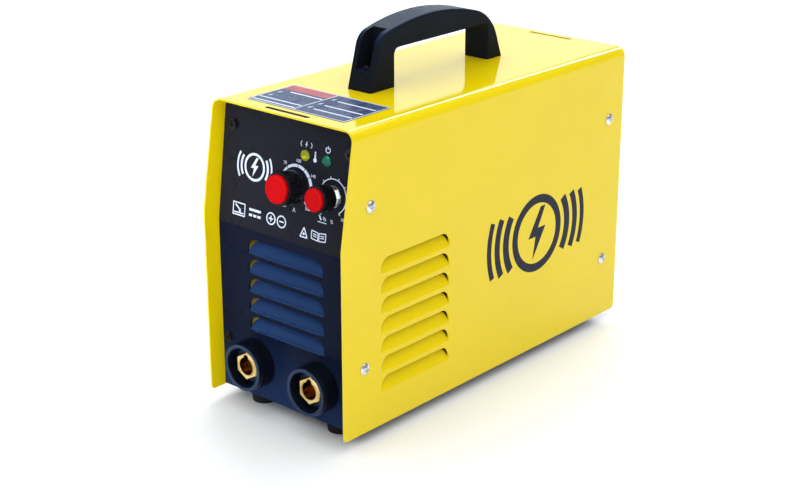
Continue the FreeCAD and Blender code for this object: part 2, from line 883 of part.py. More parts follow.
def cross_recess(name, depth, x, y, z, along):
    """Two crossed blades, to be cut out of a screw head; the pair starts at its floor."""
    length, width = 4.6, 1.0
    blades = []
    for number, (wide, tall) in enumerate(((length, width), (width, length))):
        blade = doc.addObject("Part::Box", f"{name}_blade_{number}")
        blade.Length, blade.Width = wide, tall
        bind(blade, "Height", depth)
        blades.append(blade)
        axis, degrees = TURN[along]
        turn = FreeCAD.Rotation(axis, degrees)
        shift = turn.multVec(Vector(-wide / 2, -tall / 2, 0))
        blade.Placement = FreeCAD.Placement(Vector(), turn)
        bind_place(blade, x + shift.x, y + shift.y, z + shift.z)
    return blades


def make_side_screws():
    """Pan-head screws through the cover into nuts on the folded sides of both panels."""
    screws = []
    for side, sign in SIDES.items():
        along = "+X" if sign > 0 else "-X"
        for number, (y, z) in enumerate(side_screw_places()):
            name = f"side_screw_{side}_{number}"
            dome = doc.addObject("Part::Sphere", f"{name}_dome")
            dome.Radius = 6.2
            put(dome, sign * (HALF_WIDTH + 2.5 - 6.2), y, z)
            head = cylinder(f"{name}_head", dim("screw_head_radius"), 2.5, sign * HALF_WIDTH, y, z, along)
            pan = doc.addObject("Part::Common", f"{name}_pan")
            pan.Base, pan.Tool = head, dome
            start = sign * (HALF_WIDTH - 7.6)
            shank = cylinder(f"{name}_shank", dim("screw_radius"), 7.8, start, y, z, along)
            whole = fuse(f"{name}_blank", [pan, shank])
            floor = sign * (HALF_WIDTH + 1.1)
            screws.append(cut(name, whole, cross_recess(name, 3, floor, size(y), size(z), along)))
            inwards = "-X" if sign > 0 else "+X"
            small_nut(f"{name}_nut", sign * (PAN_HALF - SHEET), y, z, inwards)
    settle(group("side_screws_group", screws), "side_screws")


def low_head_screw(name, grip, head_radius):
    """A low cap screw with a washer, along Z, its washer lying on Z = 0 and its shank going down."""
    washer = cylinder(f"{name}_washer", head_radius + 0.9, 0.6)
    head = cylinder(f"{name}_head", head_radius, 1.9, 0, 0, 0.5)
    shank = cylinder(f"{name}_shank", dim("screw_radius"), grip + 0.2, 0, 0, -grip)
    key = hexagon(f"{name}_key", 2.5, 2, 0, 0, 1.2)
    return cut(name, fuse(f"{name}_blank", [washer, head, shank]), [key])


def make_front_screws():
    """Cap screws: the upper pair holds the front board, the lower pair the insulating plate."""
    screws = []
    setback = dim("board_setback")
    behind = setback + dim("board")
    reach = behind + NUT_THICK
    for side, sign in SIDES.items():
        high_x, high_z = sign * dim("panel_screw_high_x"), dim("panel_screw_high")
        high_screw = low_head_screw(f"high_screw_{side}", behind + 4.5, 3.5)
        screws.append(near_panel(high_screw, high_x, high_z))
        low_x, low_z = sign * dim("panel_screw_low_x"), dim("panel_screw_low")
        low_screw = low_head_screw(f"low_screw_{side}", SHEET + 6.5, 2.8)
        screws.append(put(low_screw, low_x, PANEL_FACE, low_z, "-Y"))
        high_nut = small_nut(f"high_screw_nut_{side}")
        nut_y = panel_y(high_z) + reach * cosine(LEAN)
        put(high_nut, high_x, nut_y, high_z - reach * sine(LEAN), angle=90 - LEAN)
        small_nut(f"low_screw_nut_{side}", low_x, PANEL_FACE + SHEET + 2, low_z, "+Y")
        tube = cylinder(f"spacer_tube_{side}", 3.8, setback - SHEET, 0, 0, -setback)
        bore = cylinder(f"spacer_bore_{side}", dim("screw_hole"), 20, 0, 0, -16)
        spacers.append(near_panel(cut(f"front_spacer_{side}", tube, [bore]), high_x, high_z))
    settle(group("front_panel_screws_group", screws), "front_panel_screws")


# ---------------------------------------------------------------- controls


def make_knob(word):
    """A smooth round knob with a coloured cap, on its potentiometer."""
    x, z, radius = dim(f"{word}_knob_x"), dim(f"{word}_knob_z"), dim(f"{word}_knob_radius")
    gap, tall = dim(f"{word}_knob_gap"), dim("knob_height")
    bore = dim("shaft_radius") + dim("running_gap")
    recess = radius * 0.86
    floor = tall - 2
    cavity, ceiling = radius - 1.8, gap + 3
    profile = [(cavity, gap), (radius - 0.4, gap), (radius, gap + 0.4), (radius, tall - 0.4)]
    profile += [(radius - 0.4, tall), (recess, tall), (recess, floor)]
    profile += [(bore, floor), (bore, ceiling), (cavity, ceiling)]
    knob = turned_body(f"{word}_knob", profile)
    on_panel(knob, f"{word}_knob", x, z)

    edge = recess - 0.1
    cap_top = dim("cap_height")
    cap = turned_body(
        f"{word}_knob_cap",
        [
            (0, floor),
            (edge, floor),
            (edge, cap_top - 0.9, 0.8),
            (edge - 0.8, cap_top - 0.1),
            (edge - 1.5, cap_top - 0.3),
            (0, cap_top - 0.2),
        ],
    )
    on_panel(cap, f"{word}_knob_cap", x, z)

    depth = dim("board_setback")
    shoulder = SHEET + 1.5
    can = turned_body(
        f"{word}_potentiometer",
        [
            (0, -depth),
            (8.4, -depth),
            (8.4, -shoulder),
            (3.5, -shoulder),
            (3.5, 4.6),
            (bore, 4.6),
            (bore, 1.5 - depth),
            (0, 1.5 - depth),
        ],
    )
    potentiometers.append(near_panel(can, x, z))
    shaft = turned_body(
        f"{word}_shaft",
        [
            (0, 2 - depth),
            (dim("shaft_radius"), 2 - depth),
            (dim("shaft_radius"), floor - 0.6),
            (0, floor - 0.6),
        ],
    )
    on_panel(shaft, f"{word}_shaft", x, z)

    washer = cylinder(f"{word}_panel_washer", 7.3, 0.6)
    nut = hexagon(f"{word}_panel_nut_hexagon", 10, 2, 0, 0, 0.5)
    bush = cylinder(f"{word}_panel_nut_bore", 3.5, 5, 0, 0, -1)
    blank = fuse(f"{word}_panel_nut_blank", [washer, nut])
    return near_panel(cut(f"{word}_panel_nut", blank, [bush]), x, z)


def make_lamp(word):
    """A domed indicator lens pushed through the panel, over a lamp on the front board."""
    x, z, radius = dim(f"{word}_lamp_x"), dim("lamp_z"), dim("lamp_radius")
    crown, rim, tail = 2.8, 0.8, 8
    stem = dim("lamp_stem")
    bore = stem - 0.7
    dome_radius = (radius * radius + (crown - rim) * (crown - rim)) / (2 * (crown - rim))
    profile = [(0, -tail), (stem, -tail), (stem, 0), (radius, 0), (radius, rim, dome_radius), (0, crown)]
    lens = turned_body(f"{word}_lamp_lens", profile)
    well = new_sketch(lens, "well", "XY_Plane", at=-tail)
    circle(well, 0, 0, bore)
    pocket(lens, well, tail - 1.5, back=True)
    on_panel(lens, f"{word}_lamp_lens", x, z)

    ring = cylinder(f"{word}_retainer_ring", 6, 1.4, 0, 0, -SHEET - 1.4)
    hole = cylinder(f"{word}_retainer_hole", stem, 4, 0, 0, -SHEET - 3)
    retainer = near_panel(cut(f"{word}_retainer", ring, [hole]), x, z)
    depth = dim("board_setback")
    stalk = cylinder(f"{word}_diode_stalk", bore - 0.2, depth - 2.5, 0, 0, -depth)
    foot = cylinder(f"{word}_diode_foot", 2.8, 1, 0, 0, -depth)
    diode = near_panel(fuse(f"{word}_diode", [stalk, foot]), x, z)
    return retainer, diode


def make_controls():
    nuts = [make_knob("current"), make_knob("force")]
    settle(group("potentiometers_group", potentiometers), "potentiometers")
    settle(group("potentiometer_nuts_group", nuts), "potentiometer_nuts")
    fault_ring, fault_diode = make_lamp("fault")
    power_ring, power_diode = make_lamp("power")
    settle(group("lamp_retainers_group", [fault_ring, power_ring]), "lamp_retainers")
    settle(group("lamp_diodes_group", [fault_diode, power_diode]), "lamp_diodes")

    middle, half_tall = size(176), 26
    depth = dim("board_setback")
    plate = box("front_board_plate", (-58, 58), (-half_tall, half_tall), (-depth - dim("board"), -depth))
    holes = []
    up = (dim("panel_screw_high") - middle) / cosine(LEAN)
    for side, sign in SIDES.items():
        x = sign * dim("panel_screw_high_x")
        holes.append(cylinder(f"front_board_hole_{side}", dim("screw_hole"), 6, x, up, -depth - 4))
    on_panel(cut("front_board_cut", plate, holes), "front_board", 0, middle)


# ---------------------------------------------------------------- output sockets


def make_sockets():
    housings, inserts, bars, screws, collars = [], [], [], [], []
    tail = dim("insert_tail")
    length = dim("socket_length")
    bore = dim("insert_radius") + 0.1
    seat = 7
    for polarity, sign in (("negative", -1), ("positive", 1)):
        x, z = sign * dim("socket_x"), dim("socket_z")
        radius = dim("socket_radius")
        mouth = radius - 2.8
        profile = [
            (bore, -9),
            (12.4, -9),
            (12.4, 0),
            (radius + 0.5, 0),
            (radius + 0.3, length - 3),
            (radius, length - 2),
            (radius, length - 0.7, 0.7),
            (radius - 0.7, length),
            (mouth + 0.6, length, 0.6),
            (mouth, length - 0.6),
            (mouth, 4),
            (12, 4),
            (12, seat),
            (bore, seat),
        ]
        housing = turned_body(f"{polarity}_socket_housing", profile)
        housings.append(put(housing, x, PANEL_FACE, z, "-Y"))

        insert = new_body(f"{polarity}_socket_insert")
        shank = new_sketch(insert, "shank", "XY_Plane", at=-tail)
        circle(shank, 0, 0, dim("insert_radius"))
        pad(insert, shank, tail + seat)
        head = new_sketch(insert, "head", "XY_Plane", at=seat)
        corner = 10.9
        spots = [math.radians(90 + 60 * k) for k in range(6)]
        outline(head, [(corner * math.cos(a), corner * math.sin(a)) for a in spots])
        pad(insert, head, length - 4 - seat)

        def front_rim(edge):
            return near(edge.BoundBox.ZMin, length - 4) and near(edge.BoundBox.ZLength, 0)

        round_edges(insert, 0.9, front_rim, "Chamfer")
        hole = new_sketch(insert, "bore", "XY_Plane", at=length - 4)
        circle(hole, 0, 0, dim("socket_bore"))
        pocket(insert, hole, 21)
        key = new_sketch(insert, "key", "XY_Plane", at=length - 4)
        rectangle(key, -2.2, 2.2, 3, 8.7, 2)
        pocket(insert, key, 15)
        thread = new_sketch(insert, "thread", "XY_Plane", at=-tail)
        circle(thread, 0, 0, 4)
        pocket(insert, thread, 9, back=True)
        inserts.append(put(insert, x, PANEL_FACE, z, "-Y"))

        behind = PANEL_FACE + SHEET + 2
        ring = hexagon(f"{polarity}_collar_hexagon", 30, 5, x, behind, z, "+Y")
        core = cylinder(f"{polarity}_collar_bore", 12.5, 7, x, behind - 1, z, "+Y")
        collars.append(cut(f"{polarity}_collar", ring, [core]))
        back = PANEL_FACE + tail + 3
        washer = cylinder(f"{polarity}_screw_washer", 8.2, 1.6, x, back, z, "+Y")
        bolt = hexagon(f"{polarity}_screw_head", 13, 5.3, x, back + 1.5, z, "+Y")
        stem = cylinder(f"{polarity}_screw_stem", 4, 11, x, back - 10.9, z, "+Y")
        screws.append(fuse(f"{polarity}_screw", [washer, bolt, stem]))

        bar = new_body(f"{polarity}_bus_bar")
        bend = new_sketch(bar, "bend", "YZ_Plane")
        upright = PANEL_FACE + tail
        foot, thick = dim("lower_board_z") + dim("board"), 3
        heel = dim("board_front") + 22
        path = [(upright, foot), (heel, foot), (heel, foot + thick)]
        path += [(upright + thick, foot + thick), (upright + thick, z + 10), (upright, z + 10)]
        outline(bend, path)
        pad(bar, bend, 18, both=True)
        clear = new_sketch(bar, "hole", "XZ_Plane", at=upright)
        circle(clear, 0, z, 4.3)
        pocket(bar, clear, 10)
        bars.append(put(bar, x, 0, 0))
    settle(group("socket_housings_group", housings), "socket_housings")
    settle(group("socket_inserts_group", inserts), "socket_inserts")
    settle(group("bus_bars_group", bars), "bus_bars")
    settle(group("socket_collars_group", collars), "socket_collars")
    settle(group("socket_screws_group", screws), "socket_screws")

    face = PANEL_FACE + SHEET
    plate = box("insulating_blank", (-61, 61), (face, face + 2), (6, 49))
    holes = []
    for side, sign in SIDES.items():
        x = sign * dim("socket_x")
        holes.append(cylinder(f"insulating_neck_{side}", 12.7, 6, x, face - 2, dim("socket_z"), "+Y"))
        x = sign * dim("panel_screw_low_x")
        spot = dim("panel_screw_low")
        holes.append(cylinder(f"insulating_hole_{side}", dim("screw_hole"), 6, x, face - 2, spot, "+Y"))
    settle(cut("insulating_cut", plate, holes), "insulating_plate")


# ---------------------------------------------------------------- rear fittings


def fan_screw_places():
    half = dim("fan_hole_pitch") / 2
    return [(sx * half, dim("fan_z") + sz * half) for sx in (-1, 1) for sz in (-1, 1)]


def earth_stud_z():
    return dim("switch_z")


def make_fan():
    """An axial fan behind the rear panel; its own Z points out of the rear."""
    half, depth = dim("fan_size") / 2, dim("fan_depth")
    frame = new_body("fan_frame")
    square = new_sketch(frame, "square", "XY_Plane")
    rectangle(square, -half, half, -half, half, 6)
    pad(frame, square, depth)
    duct = new_sketch(frame, "duct", "XY_Plane", at=depth)
    circle(duct, 0, 0, dim("fan_bore"))
    pocket(frame, duct)
    hub = new_sketch(frame, "hub", "XY_Plane")
    circle(hub, 0, 0, dim("fan_hub_radius"))
    pad(frame, hub, 4)
    strut = new_sketch(frame, "strut", "XY_Plane")
    rectangle(strut, -2, 2, dim("fan_hub_radius") - 2, dim("fan_bore") + 1)
    arm = pad(frame, strut, 4)
    spin_pattern(frame, [arm], 4)
    bearing = new_sketch(frame, "bearing", "XY_Plane", at=4)
    circle(bearing, 0, 0, 1.5 + dim("running_gap"))
    pocket(frame, bearing, 3.4)
    holes = new_sketch(frame, "holes", "XY_Plane", at=depth)
    pitch = dim("fan_hole_pitch") / 2
    for sx in (-1, 1):
        for sy in (-1, 1):
            circle(holes, sx * pitch, sy * pitch, dim("screw_hole"))
    pocket(frame, holes)
    front = REAR_FACE - SHEET - depth
    settle(frame, "fan_frame", 0, front, dim("fan_z"), "+Y")

    rotor = new_body("fan_rotor")
    drum = new_sketch(rotor, "drum", "XY_Plane", at=4.6)
    circle(drum, 0, 0, dim("fan_hub_radius"))
    pad(rotor, drum, 18.4)
    spindle = new_sketch(rotor, "spindle", "XY_Plane", at=0.9)
    circle(spindle, 0, 0, 1.5)
    pad(rotor, spindle, 5)

    def drum_rim(edge):
        bounds = edge.BoundBox
        return near(bounds.ZMin, 23) and near(bounds.ZLength, 0)

    round_edges(rotor, 2, drum_rim)
    sections = []
    middle = 13.8
    root, tip = dim("fan_hub_radius") - 2, dim("rotor_radius") - 0.6
    for name, reach, rise, sweep in (("root", root, 7, 5.6), ("tip", tip, 4.4, 9)):
        blade = new_sketch(rotor, f"blade_{name}", "YZ_Plane", at=reach)
        half_thick = dim("blade_thick") / (2 * math.hypot(rise, sweep))
        aside, down = half_thick * rise, half_thick * sweep
        low, high = middle - rise, middle + rise
        path = [(-sweep - aside, low + down), (aside - sweep, low - down)]
        path += [(sweep + aside, high - down), (sweep - aside, high + down)]
        outline(blade, path)
        sections.append(blade)
    loft = rotor.newObject("PartDesign::AdditiveLoft", "fan_rotor_blade")
    loft.Profile = sections[0]
    loft.Sections = [sections[1]]
    loft.Ruled = True
    spin_pattern(rotor, [loft], 7)
    settle(rotor, "fan_rotor", 0, front, dim("fan_z"), "+Y")

    wires = []
    wire = dim("guard_wire")
    guard_y = REAR_FACE + wire + 2.4
    seat = guard_y - 0.6
    first_hoop, hoop_pitch = 12, 7.6
    for number in range(5):
        hoop = doc.addObject("Part::Torus", f"guard_hoop_{number}")
        bind(hoop, "Radius1", first_hoop + number * hoop_pitch)
        bind(hoop, "Radius2", wire)
        wires.append(put(hoop, 0, guard_y, dim("fan_z"), "+Y"))
    reach = dim("fan_hole_pitch") / 2
    start = 8
    for number, (sx, sz) in enumerate(((-1, -1), (-1, 1), (1, -1), (1, 1))):
        spoke = cylinder(f"guard_spoke_{number}", wire, (reach - start) * math.sqrt(2))
        turn = FreeCAD.Rotation(Vector(0, 0, 1), Vector(sx, 0, sz))
        spoke.Placement = FreeCAD.Placement(Vector(), turn)
        bind_place(spoke, sx * start, guard_y - 1.8, dim("fan_z") + sz * start)
        wires.append(spoke)
        x, z = sx * reach, dim("fan_z") + sz * reach
        wires.append(cylinder(f"guard_eye_{number}", 4.6, seat - REAR_FACE, x, REAR_FACE, z, "+Y"))
    bores = []
    for number, (x, z) in enumerate(fan_screw_places()):
        bores.append(cylinder(f"guard_bore_{number}", dim("screw_hole"), 12, x, REAR_FACE - 2, z, "+Y"))
    settle(cut("fan_guard_cut", fuse("guard_wires", wires), bores), "fan_guard")

    screws = []
    grip = seat - front + 4
    for number, (x, z) in enumerate(fan_screw_places()):
        name = f"fan_screw_{number}"
        head = cylinder(f"{name}_head", 3.9, 2.4, x, seat, z, "+Y")
        shank = cylinder(f"{name}_shank", dim("screw_radius"), grip + 0.2, x, seat - grip, z, "+Y")
        blank = fuse(f"{name}_blank", [head, shank])
        recess = cross_recess(name, 3, size(x), seat + 1.1, z, "+Y")
        screws.append(cut(name, blank, recess))
        small_nut(f"{name}_nut", x, front, z, "-Y")
    settle(group("fan_screws_group", screws), "fan_screws")


def make_power_switch():
    """A rocker switch in the rear panel; its own Z points out of the rear and its own Y down."""
    x, z = dim("switch_x"), dim("switch_z")
    housing = new_body("power_switch_housing")
    bezel = new_sketch(housing, "bezel", "XY_Plane")
    rectangle(bezel, -13, 13, -17, 17, 1.5)
    pad(housing, bezel, 2.2)
    can = new_sketch(housing, "can", "XY_Plane")
    rectangle(can, -11, 11, -15, 15)
    can_depth = 26
    pad(housing, can, can_depth, back=True)
    well = new_sketch(housing, "well", "XY_Plane", at=2.2)
    rectangle(well, -8.4, 8.4, -13, 13)
    pocket(housing, well, 20)
    pivot = new_sketch(housing, "pivot", "YZ_Plane")
    circle(pivot, 0, -4, 1.5 + dim("running_gap"))
    pocket(housing, pivot, 20.4, both=True)

    def bezel_rim(edge):
        bounds = edge.BoundBox
        outer = bounds.XMax > 12 or bounds.XMin < -12 or bounds.YMax > 16 or bounds.YMin < -16
        return outer and near(bounds.ZMin, 2.2) and near(bounds.ZLength, 0)

    round_edges(housing, 0.7, bezel_rim)
    settle(housing, "power_switch_housing", x, REAR_FACE, z, "+Y")
    blades = []
    for row, down in enumerate((-8, 8)):
        for column, side in enumerate((-5, 5)):
            name = f"switch_blade_{row}_{column}"
            near_x, near_z = x + side, z + down
            limits_y = (REAR_FACE - 36, REAR_FACE - can_depth)
            blades.append(box(name, (near_x - 3.1, near_x + 3.1), limits_y, (near_z - 0.4, near_z + 0.4)))
    settle(group("switch_terminals_group", blades), "switch_terminals")

    rocker = new_body("power_switch_rocker")
    side = new_sketch(rocker, "side", "YZ_Plane")
    reach = 12.6
    high, low = math.radians(32), math.radians(-14)
    tip = (reach * math.cos(high), reach * math.sin(high))
    root = (reach * math.cos(low), reach * math.sin(low))
    outline(
        side,
        [
            (root[0], root[1], reach),
            (tip[0], tip[1]),
            (0, 5.2),
            (-tip[0], tip[1], reach),
            (-root[0], root[1]),
        ],
    )
    pad(rocker, side, 16, both=True)
    pins = new_sketch(rocker, "pins", "YZ_Plane")
    circle(pins, 0, 0, 1.5)
    pad(rocker, pins, 20, both=True)
    angle = size(-90) - dim("rocker_throw")
    settle(rocker, "power_switch_rocker", x, REAR_FACE - 4, z, angle=angle)


def make_gland():
    """A cable gland with its lock nut; its own Z points out of the rear."""
    x, z, bore = dim("gland_x"), dim("gland_z"), dim("gland_bore")
    gland = new_body("cable_gland")
    collar = new_sketch(gland, "collar", "XY_Plane")
    spots = [math.radians(60 * k) for k in range(6)]
    corner = 24 / math.sqrt(3)
    outline(collar, [(corner * math.cos(a), corner * math.sin(a)) for a in spots])
    pad(gland, collar, 6)
    stem = new_sketch(gland, "stem", "XY_Plane")
    circle(stem, 0, 0, 9.9)
    pad(gland, stem, 10, back=True)
    cap = new_sketch(gland, "cap", "XZ_Plane")
    profile = [(0, 5), (11.4, 5), (11.4, 14), (10.4, 17.5, 4), (7.6, 20), (0, 20)]
    outline(cap, profile)
    revolve(gland, cap)
    ribs = new_sketch(gland, "ribs", "XY_Plane", at=6.5)
    circle(ribs, 0, 12.4, 1.6)
    groove = pocket(gland, ribs, 7.5, back=True)
    spin_pattern(gland, [groove], 12)
    hole = new_sketch(gland, "hole", "XY_Plane", at=21)
    circle(hole, 0, 0, bore)
    pocket(gland, hole)
    settle(gland, "cable_gland", x, REAR_FACE, z, "+Y")
    inner = REAR_FACE - SHEET
    nut = hexagon("gland_nut_hexagon", 25, 5, x, inner - 5, z, "+Y")
    thread = cylinder("gland_nut_bore", 9.9, 7, x, inner - 6, z, "+Y")
    settle(cut("gland_nut_cut", nut, [thread]), "gland_nut")

    spot = earth_stud_z()
    stud = cylinder("earth_stud_rod", 3, 24, 0, REAR_FACE - 14, spot, "+Y")
    outer = hexagon("earth_stud_outer", 10, 4.6, 0, REAR_FACE, spot, "+Y")
    back = hexagon("earth_stud_inner", 10, 4.6, 0, inner - 4.6, spot, "+Y")
    settle(fuse("earth_stud_fuse", [stud, outer, back]), "earth_stud")


# ---------------------------------------------------------------- power electronics


def spacer_places():
    x, inset = dim("spacer_x"), dim("spacer_inset")
    front, rear = dim("board_front") + inset, dim("board_rear") - inset
    return [(-x, front), (x, front), (-x, rear), (x, rear)]


def make_boards():
    half = dim("board_half")
    levels = (("output_board", dim("lower_board_z")), ("inverter_board", dim("upper_board_z")))
    for label, z in levels:
        depth = (dim("board_front"), dim("board_rear"))
        plate = box(f"{label}_plate", (-half, half), depth, (z, z + dim("board")))
        holes = []
        for number, (x, y) in enumerate(spacer_places()):
            holes.append(cylinder(f"{label}_hole_{number}", dim("screw_hole"), 6, x, y, z - 2))
        settle(cut(f"{label}_cut", plate, holes), label)
    screws = []
    low, high, board = dim("lower_board_z"), dim("upper_board_z"), dim("board")
    for number, (x, y) in enumerate(spacer_places()):
        spacers.append(hexagon(f"lower_spacer_{number}", 7, low - TRAY_TOP, x, y, TRAY_TOP))
        post = hexagon(f"upper_spacer_{number}_post", 7, high - low - board, x, y, low + board)
        stud = cylinder(f"upper_spacer_{number}_stud", dim("screw_radius"), board, x, y, low)
        spacers.append(fuse(f"upper_spacer_{number}", [post, stud]))
        head = cylinder(f"board_screw_{number}_head", 3.6, 2.4, x, y, high + board)
        shank = cylinder(f"board_screw_{number}_shank", dim("screw_radius"), board + 0.2, x, y, high)
        screws.append(fuse(f"board_screw_{number}", [head, shank]))
    settle(group("board_screws_group", screws), "board_screws")


def make_heat_sink(label, inner_x, sign, z, tall, front, rear, fins):
    """An aluminium extrusion: an upright plate with a row of level fins towards one side."""
    body = new_body(label)
    base = dim("heat_sink_base")
    outer = inner_x + sign * base
    plate = new_sketch(body, "plate", "XZ_Plane", at=rear)
    rectangle(plate, min(inner_x, outer.number), max(inner_x, outer.number), z, z + tall)
    pad(body, plate, rear - front)
    fin = new_sketch(body, "fin", "XZ_Plane", at=rear)
    tips = sign * 55
    edge = inner_x + sign * 3
    rectangle(fin, min(edge, tips), max(edge, tips), z + 1, z + 1 + dim("fin"))
    blade = pad(body, fin, rear - front)
    row_pattern(body, [blade], "Z_Axis", dim("fin_pitch"), fins)
    settle(body, label)


def make_power_devices(label, face, sign, z, board_z, front, pitch):
    """Four flat power packages on the upright plate of a heat sink, each with three legs."""
    devices = []
    for number in range(4):
        y = front + pitch * number
        x0, x1 = sorted((face, face + sign * 5))
        pieces = [box(f"{label}_{number}_case", (x0, x1), (y - 8, y + 8), (z, z + 21))]
        for leg, shift in enumerate((-5.4, 0, 5.4)):
            l0, l1 = sorted((face + sign * 2, face + sign * 2.8))
            limits = (y + shift - 0.7, y + shift + 0.7)
            pieces.append(box(f"{label}_{number}_leg_{leg}", (l0, l1), limits, (board_z, z + 0.5)))
        devices.append(fuse(f"{label}_{number}", pieces))
    settle(group(f"{label}_group", devices), label)


def make_transformer():
    """A ferrite double-E core with its winding round the middle leg."""
    x, y, low = 20, 205, dim("lower_board_z") + dim("board") + 2
    core = new_body("transformer_core")
    face = new_sketch(core, "face", "YZ_Plane")
    rectangle(face, -30, 30, 0, 54)
    pad(core, face, 27, both=True)
    windows = new_sketch(core, "windows", "YZ_Plane")
    for sign in (-1, 1):
        near_edge, far_edge = sorted((sign * 9, sign * 22))
        rectangle(windows, near_edge, far_edge, 9, 45)
    pocket(core, windows, 40, both=True)
    settle(core, "transformer_core", x, y, low)
    coil = new_body("transformer_winding")
    ring = new_sketch(coil, "ring", "XY_Plane", at=10)
    rectangle(ring, -25, 25, -21, 21, 8)
    pad(coil, ring, 34)
    leg = new_sketch(coil, "leg", "XY_Plane", at=44)
    rectangle(leg, -13.8, 13.8, -9.3, 9.3)
    pocket(coil, leg, 34)
    settle(coil, "transformer_winding", x, y, low)


def make_choke():
    """A ring choke lying on the lower board, its winding covering most of the ring."""
    x, y, low = 18, 124, dim("lower_board_z") + dim("board") + 3
    tall, wrap = 26, 3
    core = turned_body("choke_core", [(13, 0), (28, 0), (28, tall), (13, tall)])
    settle(core, "choke_core", x, y, low)
    coil = new_body("choke_winding")
    section = new_sketch(coil, "section", "XZ_Plane")
    rectangle(section, 13 - wrap, 28 + wrap, -wrap, tall + wrap, 2.4)
    rectangle(section, 12.9, 28.1, -0.1, tall + 0.1)
    sweep = coil.newObject("PartDesign::Revolution", "choke_winding_sweep")
    sweep.Profile = section
    sweep.ReferenceAxis = (section, ["V_Axis"])
    sweep.Angle = 320
    settle(coil, "choke_winding", x, y, low)


def make_capacitors():
    cans = []
    base = dim("upper_board_z") + dim("board")
    profile = [(0, 0), (17, 0), (17, 3), (16.2, 4), (17, 5)]
    profile += [(17, 47), (16, 48), (14, 48), (13.4, 47.2), (0, 47.2)]
    for number in range(3):
        y = 92 + 40 * number
        can = turned_body(f"filter_capacitor_{number}", profile)
        cans.append(put(can, -33, y, base))
    settle(group("filter_capacitors_group", cans), "filter_capacitors")


def make_small_parts():
    low = dim("lower_board_z") + dim("board")
    high = dim("upper_board_z") + dim("board")
    bridge = box("bridge_case", (-47, -17), (218, 248), (high, high + 11))
    screw_bore = cylinder("bridge_bore", 2.6, 14, -32, 233, high - 1)
    settle(cut("bridge_cut", bridge, [screw_bore]), "bridge_rectifier")
    settle_block("inrush_relay", (-10, 8), (212, 242), (high, high + 25))
    settle_block("gate_driver_board", (-8, -6.4), (100, 190), (high, high + 46))
    front = PANEL_FACE + dim("insert_tail") + 10
    middle = -dim("socket_x")
    block = box("sensor_block", (middle - 14, middle + 14), (front, front + 14), (low - 8, low + 16))
    through = (front - 1, front + 15)
    window = box("sensor_window", (middle - 9.4, middle + 9.4), through, (low - 0.4, low + 3.4))
    settle(cut("sensor_cut", block, [window]), "current_sensor")


def make_labels():
    label = new_body("top_label")
    face = new_sketch(label, "face", "XY_Plane", at=COVER_TOP)
    rectangle(face, -45, 45, 25, 71, 2)
    pad(label, face, 0.25)
    settle(label, "top_label")
    plate = new_body("rear_label")
    back = new_sketch(plate, "face", "XZ_Plane", at=REAR_FACE + 0.25)
    rectangle(back, -27, 27, 188, 204, 1.5)
    pad(plate, back, 0.25)
    settle(plate, "rear_label")


def check_and_export():
    """Stops on any failed object, then writes one STEP file for each sub-part."""
    doc.recompute()
    for thing in doc.Objects:
        if "Invalid" in thing.State or "Error" in thing.State:
            raise RuntimeError(f"{thing.Name} failed: {thing.State}")
    for thing in subparts:
        if thing.Shape.isNull() or not thing.Shape.isValid():
            raise RuntimeError(f"{thing.Label} has no valid shape")
    for thing in subparts:
        thing.Shape.exportStep(f"parts/{thing.Label}.step")


make_cover()
make_base_tray()
make_front_panel()
make_rear_panel()
make_feet()
make_handle()
make_side_screws()
make_front_screws()
make_controls()
make_sockets()
make_fan()
make_power_switch()
make_gland()
make_boards()
make_heat_sink("output_heat_sink", -25, -1, 18, 66, 100, 246, 10)
make_power_devices("output_diodes", -25, 1, 40, 15.6, 120, 36)
make_heat_sink("inverter_heat_sink", 25, 1, 108, 60, 100, 246, 9)
make_power_devices("power_transistors", 25, -1, 130, 105.6, 120, 36)
make_transformer()
make_choke()
make_capacitors()
make_small_parts()
make_labels()
settle(group("small_nuts_group", small_nuts), "small_nuts")
settle(group("board_spacers_group", spacers), "board_spacers")
check_and_export()
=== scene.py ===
"""Looks of a portable stick welding inverter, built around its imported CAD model."""

import json
import math

import bmesh
import bpy
from mathutils import Matrix, Vector


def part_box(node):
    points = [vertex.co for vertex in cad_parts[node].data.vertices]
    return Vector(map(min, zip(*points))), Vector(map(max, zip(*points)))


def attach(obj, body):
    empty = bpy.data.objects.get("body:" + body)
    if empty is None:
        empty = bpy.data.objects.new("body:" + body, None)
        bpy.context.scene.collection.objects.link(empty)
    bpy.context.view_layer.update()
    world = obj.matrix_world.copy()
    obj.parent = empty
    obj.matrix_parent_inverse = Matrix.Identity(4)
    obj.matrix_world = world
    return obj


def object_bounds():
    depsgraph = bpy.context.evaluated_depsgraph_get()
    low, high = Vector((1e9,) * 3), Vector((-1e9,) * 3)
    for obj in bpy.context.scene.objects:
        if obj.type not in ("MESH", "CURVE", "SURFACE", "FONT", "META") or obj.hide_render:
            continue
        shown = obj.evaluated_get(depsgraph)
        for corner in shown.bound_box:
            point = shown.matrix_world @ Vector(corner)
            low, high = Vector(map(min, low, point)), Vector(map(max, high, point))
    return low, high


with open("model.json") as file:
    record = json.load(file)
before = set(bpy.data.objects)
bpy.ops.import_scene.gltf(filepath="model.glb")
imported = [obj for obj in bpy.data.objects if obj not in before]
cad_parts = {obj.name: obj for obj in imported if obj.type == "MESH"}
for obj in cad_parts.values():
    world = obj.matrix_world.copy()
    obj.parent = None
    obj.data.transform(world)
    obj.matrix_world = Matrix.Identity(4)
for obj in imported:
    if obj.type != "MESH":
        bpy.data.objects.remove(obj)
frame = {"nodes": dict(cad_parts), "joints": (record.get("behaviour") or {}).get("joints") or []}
cad_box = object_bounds()

